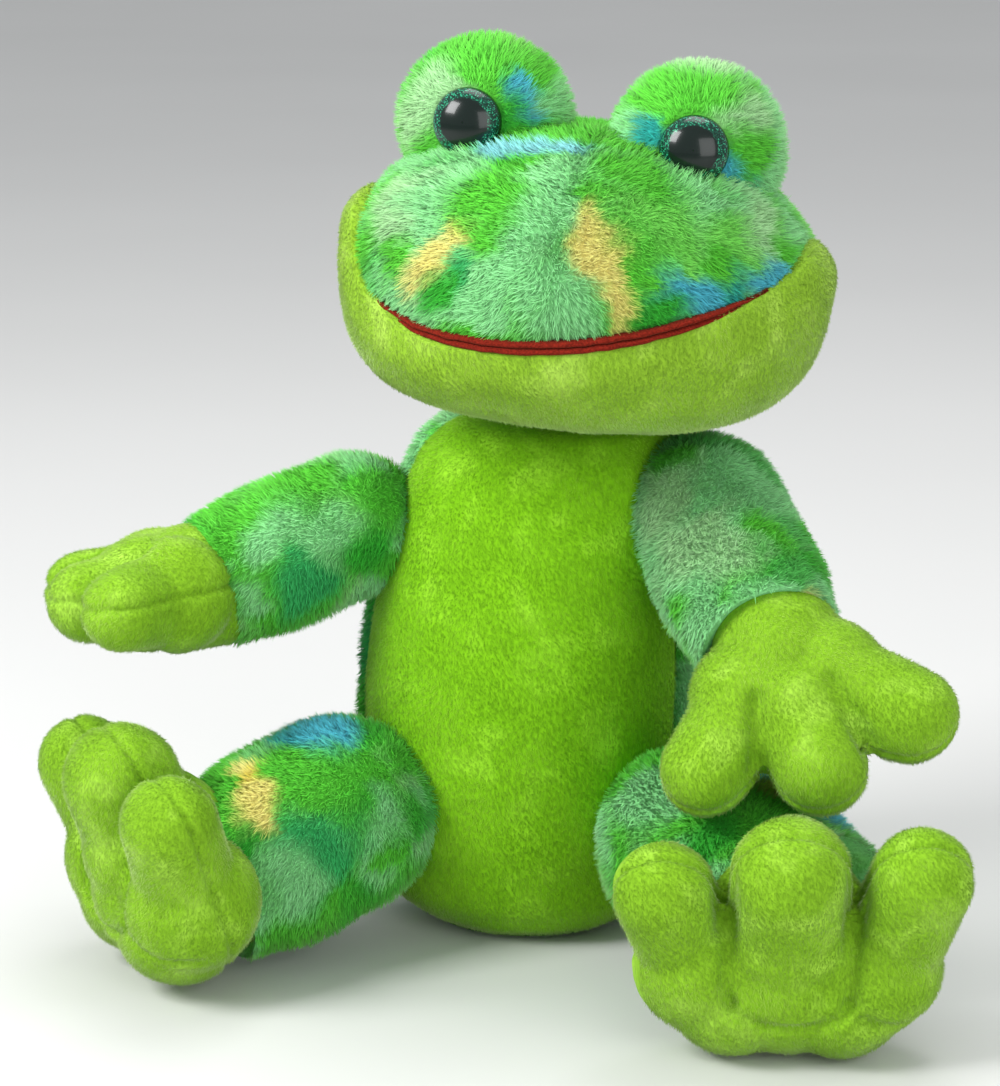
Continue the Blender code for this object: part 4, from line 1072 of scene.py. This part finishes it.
def build_back():
    """The fur sides and back, with the hand's opening left out of its lower half."""
    first = BELLY_ARC - 3.0
    angles = np.linspace(first, 360.0 - first, 131)
    heights = np.unique(np.concatenate([torso_heights(90), OPENING_Z]))
    points = torso_points(angles, heights, FUR_SKIN)
    sunk = 1.0 - ramp(np.minimum(angles - first, 360.0 - first - angles), 0.0, 6.0)
    inward = unit(points * LEVEL)
    points = (points - inward * (0.0055 * sunk)[None, :, None]).reshape(-1, 3)
    quads = grid_quads(len(heights), len(angles), False)
    centre = points[quads].mean(axis=1)
    turn = np.degrees(np.arctan2(centre[:, 0], centre[:, 1]))
    hole = (np.abs(turn) < OPENING_ARC + 4.0) & (centre[:, 2] > OPENING_Z[0]) & (centre[:, 2] < OPENING_Z[1])
    quads = facing_out(points, quads[~hole], np.array([0.0, 0.0, 0.1]))
    spots = torso_spots()
    skin = undercoat("back_fur_skin", points, quads, spots, 3)
    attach(skin, "torso")
    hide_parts("back_panel")
    roots, normals = scatter(points, quads, FUR_SPACING["back"], 71)
    turn = np.degrees(np.arctan2(roots[:, 0], roots[:, 1]))
    beside = (np.abs(turn) < OPENING_ARC + 7.0) & (roots[:, 2] > OPENING_Z[0] - 0.001)
    beside &= roots[:, 2] < OPENING_Z[1] + 0.007
    keep = (roots[:, 2] > 0.0055) & ~in_limb(roots) & ~beside
    roots, normals = roots[keep], normals[keep]
    comb = along_surface(np.array([0.0, 0.1, -1.0]), normals)
    length = FUR_LENGTH * (0.45 + 0.55 * ramp(roots[:, 2], 0.004, 0.018))
    fur = strands("back_fur", roots, normals, comb, dyed(roots, spots, 3), FUR_MATERIAL, 72, length=length)
    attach(fur, "torso")


def build_seat():
    """The panel under the frog: a flat middle and a soft rounded edge."""
    rings = [(0.0003, 0.02), (0.0003, 0.6), (0.0003, 0.92), (0.0005, 1.0)]
    turns = full_turn(80)
    points = []
    for height, part in rings:
        points.append(np.stack([SEAT[0] * part * np.sin(turns), -SEAT[1] * part * np.cos(turns),
                                np.full(80, height)], axis=1))
    points = np.concatenate(points)
    quads = facing_out(points, grid_quads(len(rings), 80, True), np.array([0.0, 0.0, 0.05]))
    # The seat's undercoat is painted darker, as painted shade.
    seat = undercoat("seat_fur", points, quads, [], 3, painted_shade=0.8)
    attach(seat, "torso")
    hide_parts("seat_panel", "pellet_bag")


def build_neck():
    """The soft neck between the torso and the head, hidden from the front by the jaw."""
    heights = np.linspace(*NECK_Z, 24)
    turns = full_turn(72)
    spread = ramp(heights, 0.196, 0.229) * 0.007
    x = NECK[0] + (NECK_HALF[0] + spread)[:, None] * np.sin(turns)
    y = NECK[1] - (NECK_HALF[1] + spread)[:, None] * np.cos(turns)
    lowered = 0.011 * ramp(heights, 0.200, 0.231)[:, None] * np.clip(np.cos(turns) + 0.3, 0.0, 1.0)
    points = np.stack([x, y, heights[:, None] - lowered], axis=-1).reshape(-1, 3)
    quads = facing_out(points, grid_quads(24, 72, True), np.array([*NECK, 0.2]))
    spots = torso_spots()
    # The neck's undercoat is painted darker, as painted shade.
    skin = undercoat("neck_fur_skin", points, quads, spots, 3, painted_shade=0.7)
    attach(skin, "neck")
    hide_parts("neck_sleeve")
    roots, normals = scatter(points, quads, FUR_SPACING["neck"], 75)
    keep = (roots[:, 1] > NECK[1] - 0.012) & (roots[:, 2] > 0.186)
    roots, normals = roots[keep], normals[keep]
    comb = along_surface(np.array([0.0, 0.0, -1.0]), normals)
    fur = strands("neck_fur", roots, normals, comb, dyed(roots, spots, 3), FUR_MATERIAL, 76, length=0.0055)
    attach(fur, "neck")


def build_binding():
    """Tape round the edge of the hand's opening."""
    low, high = OPENING_Z
    edge = 180.0 - OPENING_ARC
    across = np.linspace(edge, 360.0 - edge, 40)
    upward = np.linspace(low, high, 26)[1:-1]
    grow = 0.0026
    path = np.concatenate([
        torso_points(across, np.array([low]), grow)[0],
        torso_points(across[-1:], upward, grow)[:, 0],
        torso_points(across[::-1], np.array([high]), grow)[0],
        torso_points(across[:1], upward[::-1], grow)[:, 0]])
    for _ in range(3):
        path = (np.roll(path, 1, axis=0) + path * 2.0 + np.roll(path, -1, axis=0)) / 4.0
    forward = unit(np.roll(path, -1, axis=0) - np.roll(path, 1, axis=0))
    out = unit(path * LEVEL)
    side = unit(np.cross(forward, out))
    rings = [path + out * TAPE[0] * math.cos(a) + side * TAPE[1] * math.sin(a) for a in full_turn(12)]
    points = np.stack(rings, axis=1).reshape(-1, 3)
    quads = grid_quads(len(path), 12, True)
    here, after = np.arange(12), (np.arange(12) + 1) % 12
    last = (len(path) - 1) * 12
    closing = np.stack([last + here, last + after, after, here], axis=1)
    quads = np.concatenate([quads, closing])
    normals = point_normals(points, quads)
    if (normals * (points - np.repeat(path, 12, axis=0))).sum() < 0:
        quads = quads[:, ::-1]
    binding = surface("opening_tape", points, quads, PAW_MATERIAL)
    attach(binding, "torso")
    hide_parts("opening_binding")


# ---- limbs ----------------------------------------------------------------------------
def joint_place(name):
    return np.array(JOINTS[name]["pos_m"], dtype=float)


def limb_axes(name):
    """The start and end of a limb's plush, and the directions along it, across it and up."""
    body_joint, paw_joint, _ = LIMBS[name]
    start = joint_place(body_joint) + np.array(LIMB_SHIFT[name][0])
    end = joint_place(paw_joint) + np.array(LIMB_SHIFT[name][1])
    along = unit(end - start)
    side = unit(np.cross(along, UP))
    return start, end, along, side, np.cross(side, along)


def limb_spots(name):
    start, end, _, side, up = limb_axes(name)
    radius = LIMBS[name][2][1]
    spots = []
    for part, angle, size, dye in LIMB_SPOTS[name]:
        turn = math.radians(angle)
        out = side * math.cos(turn) + up * math.sin(turn)
        spots.append((start + (end - start) * part + out * radius, size / 1000, dye))
    return spots


def in_torso(points):
    rows = smooth_table(TORSO, points[:, 2])
    off = (points[:, :2] - rows[:, 3:5]) / rows[:, 1:3]
    return (np.hypot(off[:, 0], off[:, 1]) < 0.97) & (points[:, 2] < TORSO[-1, 0])


def limb_tube(name):
    """A limb's skin: a rounded root, a thicker middle, and a cuff that is closed inside."""
    start, end, along, side, up = limb_axes(name)
    root, thick, cuff = LIMBS[name][2]
    length = np.linalg.norm(end - start)
    reach = np.array([-0.98, -0.88, -0.62, -0.22]) * root
    table = np.array([(reach[0], 0.0008), (reach[1], root * 0.45), (reach[2], root * 0.78), (reach[3], root),
                      (length * 0.30, (root + thick) / 2 + 0.0006), (length * 0.62, thick),
                      (length * 0.92, (cuff * 1.6 + thick * 0.4) / 2), (length + CUFF_REACH[name[:3]], cuff)])
    steps = np.linspace(table[0, 0], table[-1, 0], 54)
    radii = smooth_table(table, steps)[:, 1]
    turns = full_turn(72)
    ring = np.cos(turns)[:, None] * side + np.sin(turns)[:, None] * up
    points = start + along * steps[:, None, None] + ring[None] * radii[:, None, None]
    inner = start + along * (table[-1, 0] - 0.005) + ring * (cuff - 0.006)
    closed = start + along * (table[-1, 0] - 0.006) + ring * 0.001
    points = np.concatenate([points.reshape(-1, 3), inner, closed])
    quads = facing_out(points, grid_quads(56, 72, True), (start + end) / 2)
    points = puff(points, quads, *STUFFING["limb"])
    points[:, 2] = np.maximum(points[:, 2], 0.0016)
    return points, quads


def build_limb(name):
    start, end, along, _, _ = limb_axes(name)
    points, quads = limb_tube(name)
    seed = SEEDS[name]
    spots = limb_spots(name)
    skin = undercoat(name + "_fur_skin", points, quads, spots, 4, LIMB_MINT[name])
    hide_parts(name + "_cover", name + "_filling")
    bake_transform(skin)
    roots, normals = scatter(points, quads, FUR_SPACING["limb"], seed)
    before_cuff = (roots - start) @ along < np.linalg.norm(end - start) + CUFF_REACH[name[:3]] - 0.0005
    keep = ~in_torso(roots) & ((normals * along).sum(axis=1) < 0.8) & before_cuff
    roots, normals = roots[keep], normals[keep]
    comb = along_surface(along * 0.8 + np.array([0.0, 0.0, -0.35]), normals)
    low = ramp(roots[:, 2], 0.001, 0.012)
    fur = strands(name + "_fur", roots, normals, comb, dyed(roots, spots, 4, LIMB_MINT[name]),
                  FUR_MATERIAL, seed + 1, length=FUR_LENGTH * (0.25 + 0.75 * low))
    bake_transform(fur)


# ---- paws -----------------------------------------------------------------------------
def paw_axes(side):
    along = unit(np.array(HAND_AIM[side][0]))
    across = np.array(HAND_AIM[side][1])
    across = unit(across - along * across.dot(along))
    return along, across, np.cross(across, along)


def hand_balls(side, wrist):
    along, across, _ = paw_axes(side)
    wrist = wrist + np.array(PAW_SHIFT["hand_" + side])
    balls = [(wrist + along * a + across * c, r) for a, c, r in HAND_BALLS]
    start, spread = FINGER_ROOT
    for c, a, radius in HAND_FINGERS[side]:
        root = wrist + along * start + across * c * spread
        tip = wrist + along * a + across * c
        balls += [(root + (tip - root) * t, radius * (1.20 - 0.20 * t)) for t in np.linspace(0.0, 1.0, 10)]
    return balls


def foot_axes(side):
    facing = unit(np.array(FOOT_AIM[side]))
    across = unit(np.cross(UP, facing))
    lean = math.radians(FOOT_LEAN[side])
    up = UP * math.cos(lean) + facing * math.sin(lean)
    return facing, across, up


def foot_balls(side, ankle):
    ankle = ankle + np.array(PAW_SHIFT["foot_" + side])
    facing, across, up = foot_axes(side)
    balls = [(ankle + facing * a + across * c + np.array([0.0, 0.0, u]), r) for a, c, u, r in FOOT_BALLS]
    start, spread = TOE_ROOT
    for c, u, radius in FOOT_TOES[side]:
        root = ankle + facing * TOE_FORWARD + across * c * spread + up * start
        tip = ankle + facing * TOE_FORWARD + across * c + up * u
        balls += [(root + (tip - root) * t, radius) for t in np.linspace(0.0, 1.0, 9)]
    return balls


def ball_skin(name, balls):
    """One smooth closed skin round a group of overlapping balls."""
    bm = bmesh.new()
    for centre, radius in balls:
        place = Matrix.Translation(Vector(centre))
        bmesh.ops.create_icosphere(bm, subdivisions=3, radius=radius, matrix=place)
    mesh = bpy.data.meshes.new(name)
    bm.to_mesh(mesh)
    bm.free()
    rough = bpy.data.objects.new(name, mesh)
    bpy.context.scene.collection.objects.link(rough)
    skin = rough.modifiers.new("skin", "REMESH")
    skin.mode = "VOXEL"
    skin.voxel_size = PAW_VOXEL
    smooth = rough.modifiers.new("smooth", "SMOOTH")
    smooth.factor = 0.5
    smooth.iterations = 9
    view = bpy.context.evaluated_depsgraph_get()
    view.update()
    points, quads = mesh_arrays(rough.evaluated_get(view).to_mesh())
    bpy.data.objects.remove(rough, do_unlink=True)
    return points, quads


def seamed(points, quads, origin, facing):
    """Press in the seam that runs round a paw between its two halves of cloth."""
    normals = point_normals(points, quads)
    off = (points - origin) @ facing
    edge_on = 1.0 - ramp(np.abs(normals @ facing), 0.35, 0.75)
    groove = bell(off, SEAM_FOLD[1]) * edge_on
    return points - normals * (groove * SEAM_FOLD[0])[:, None]


def creased(points, quads, origin, across, up, facing, lines, depth, width, both=False):
    """Press soft creases into a paw's front, or both faces, along lines of (across, up) places."""
    normals = point_normals(points, quads)
    place = np.stack([(points - origin) @ across, (points - origin) @ up], axis=1)
    nearest = np.full(len(points), 1.0)
    for line in lines:
        for first, last in zip(line[:-1], line[1:]):
            first, last = np.array(first), np.array(last)
            t = np.clip((place - first) @ (last - first) / ((last - first) @ (last - first)), 0.0, 1.0)
            nearest = np.minimum(nearest, np.linalg.norm(place - first - t[:, None] * (last - first), axis=1))
    towards = np.abs(normals @ facing) if both else normals @ facing
    pressed = bell(nearest, width) * ramp(towards, 0.0, 0.4)
    return points - normals * (depth * pressed)[:, None]


def soft_skin(name, balls):
    """A ball skin set on the floor, with the unevenness of stuffing."""
    points, quads = ball_skin(name, balls)
    points[:, 2] = np.maximum(points[:, 2], 0.0008)
    return puff(points, quads, *STUFFING["paw"]), quads


def hand_shape(name, joint):
    along, across, facing = paw_axes(name[-1])
    points, quads = soft_skin(name, hand_balls(name[-1], joint))
    points = seamed(points, quads, joint, facing)
    points = creased(points, quads, joint, across, along, facing, FINGER_GAPS, *FINGER_FOLD, both=True)
    return points, quads


def foot_shape(name, joint):
    facing, across, up = foot_axes(name[-1])
    origin = joint + facing * TOE_FORWARD
    points, quads = soft_skin(name, foot_balls(name[-1], joint))
    points = seamed(points, quads, origin, unit(np.cross(across, up)))
    points = creased(points, quads, origin, across, up, facing, TOE_GAPS, *TOE_FOLD)
    points = creased(points, quads, origin, across, up, facing, SOLE_CREASES, *SOLE_FOLD)
    return points, quads


def build_paw(limb):
    name = PAW_OF[limb]
    joint = joint_place(LIMBS[limb][1])
    along = limb_axes(limb)[2]
    shape = hand_shape if limb.startswith("arm") else foot_shape
    points, quads = shape(name, joint)
    points[:, 2] = np.maximum(points[:, 2], 0.0004)
    behind = (points - joint) @ along < -0.006
    quads = quads[~behind[quads].all(axis=1)]
    quads = facing_out(points, quads, points.mean(axis=0))
    paw = surface(name + "_fleece", points, quads, PAW_MATERIAL)
    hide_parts(name + "_cover", name + "_filling")
    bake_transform(paw)
    seed = SEEDS[name]
    roots, normals = scatter(points, quads, NAP_SPACING["paw"], seed)
    keep = ((roots - joint) @ along > 0.001) & (roots[:, 2] > 0.0012)
    way = along * 0.5 + np.array([0.0, 0.0, -0.6])
    nap = add_nap(name + "_nap", roots[keep], normals[keep], way, PAW_LIME, PAW_HIGHLIGHT, seed + 10)
    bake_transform(nap)


# ---- pieces carried over from the CAD --------------------------------------------------
def dress_cad_nodes():
    """Cloth, felt and plastic for the CAD pieces that stay; felt faces the mouth boards."""
    looks = {
        plain_cloth("lining_cloth", paint(120, 176, 112)): ("hand_sleeve", "finger_pocket", "thumb_pocket"),
        plain_cloth("collar_cloth", JAW_LIME): ("collar",),
        plain_cloth("fold_felt", FELT): ("mouth_fold", "upper_mouth_board", "lower_mouth_board"),
        plain_cloth("washer_plastic", paint(225, 225, 222), 200.0, 0.45): ("eye_r_washer", "eye_l_washer"),
    }
    for material, names in looks.items():
        for name in names:
            node = frame["nodes"][name]
            node.data.materials.clear()
            node.data.materials.append(material)


# ---- stage ----------------------------------------------------------------------------
def build_stage():
    bpy.ops.mesh.primitive_plane_add(size=FLOOR_SIZE, location=(0.0, 0.0, -0.0003))
    floor = bpy.context.object
    floor.name = "floor"
    material, tree, shader = new_material("floor_paper", 0.85, specular=0.2)
    place = tree.nodes.new("ShaderNodeTexCoord").outputs["Object"]
    tree.links.new(ramp_node(tree, noise_node(tree, place, 1.5),
                        [(0.3, (0.64, 0.64, 0.63)), (0.7, (0.67, 0.67, 0.66))]), shader.inputs["Base Color"])
    floor.data.materials.append(material)
    world = bpy.data.worlds.new("studio")
    bpy.context.scene.world = world
    world.use_nodes = True
    background = world.node_tree.nodes["Background"]
    background.inputs["Color"].default_value = (0.96, 0.98, 1.0, 1.0)
    background.inputs["Strength"].default_value = WORLD_LIGHT
    for light in LIGHTS:
        add_light(*light)


def add_light(name, place, size, watts):
    data = bpy.data.lights.new(name, "AREA")
    data.size = size
    data.energy = watts
    lamp = bpy.data.objects.new(name, data)
    bpy.context.scene.collection.objects.link(lamp)
    lamp.location = place
    aim = Vector((0.0, 0.0, 0.15)) - Vector(place)
    lamp.rotation_euler = aim.to_track_quat("-Z", "Y").to_euler()


def build_camera():
    azimuth, elevation = math.radians(CAMERA_AZIMUTH), math.radians(CAMERA_ELEVATION)
    away = Vector((math.sin(azimuth) * math.cos(elevation), -math.cos(azimuth) * math.cos(elevation),
                   math.sin(elevation)))
    data = bpy.data.cameras.new("camera")
    camera = bpy.data.objects.new("camera", data)
    bpy.context.scene.collection.objects.link(camera)
    camera.location = Vector(AIM) + away * CAMERA_DISTANCE
    camera.rotation_euler = (-away).to_track_quat("-Z", "Y").to_euler()
    data.sensor_fit = "VERTICAL"
    data.angle = 2.0 * math.atan(FRAME_HEIGHT / 2.0 / CAMERA_DISTANCE)
    data.clip_start = 0.01
    data.clip_end = 50.0
    bpy.context.scene.camera = camera
    bpy.context.scene.view_settings.view_transform = "Standard"


# ---- assembly -------------------------------------------------------------------------
build_camera()
build_stage()
FUR_MATERIAL = dyed_material("fur_strands", 0.80, 0.20)
FUR_SKIN_MATERIAL = dyed_material("fur_undercoat", 0.92, 0.10, bump=0.0012)
NAP_MATERIAL = dyed_material("fleece_nap", 0.88, 0.40)
BELLY_MATERIAL = fleece_material("belly_fleece_cloth", LIME, LIME_HIGHLIGHT)
JAW_MATERIAL = fleece_material("jaw_fleece_cloth", JAW_LIME, JAW_HIGHLIGHT)
PAW_MATERIAL = fleece_material("paw_fleece_cloth", PAW_LIME, PAW_HIGHLIGHT)
FELT_MATERIAL = felt_material()
EYE_MATERIAL = eye_material()
build_head()
for eye_side in "rl":
    build_mound(eye_side)
    build_eye(eye_side)
build_jaw()
for is_upper in (True, False):
    build_lip(is_upper)
    build_mouth_sheet(is_upper)
build_belly()
build_back()
build_seat()
build_neck()
build_binding()
for limb_name in LIMBS:
    build_limb(limb_name)
    build_paw(limb_name)
dress_cad_nodes()
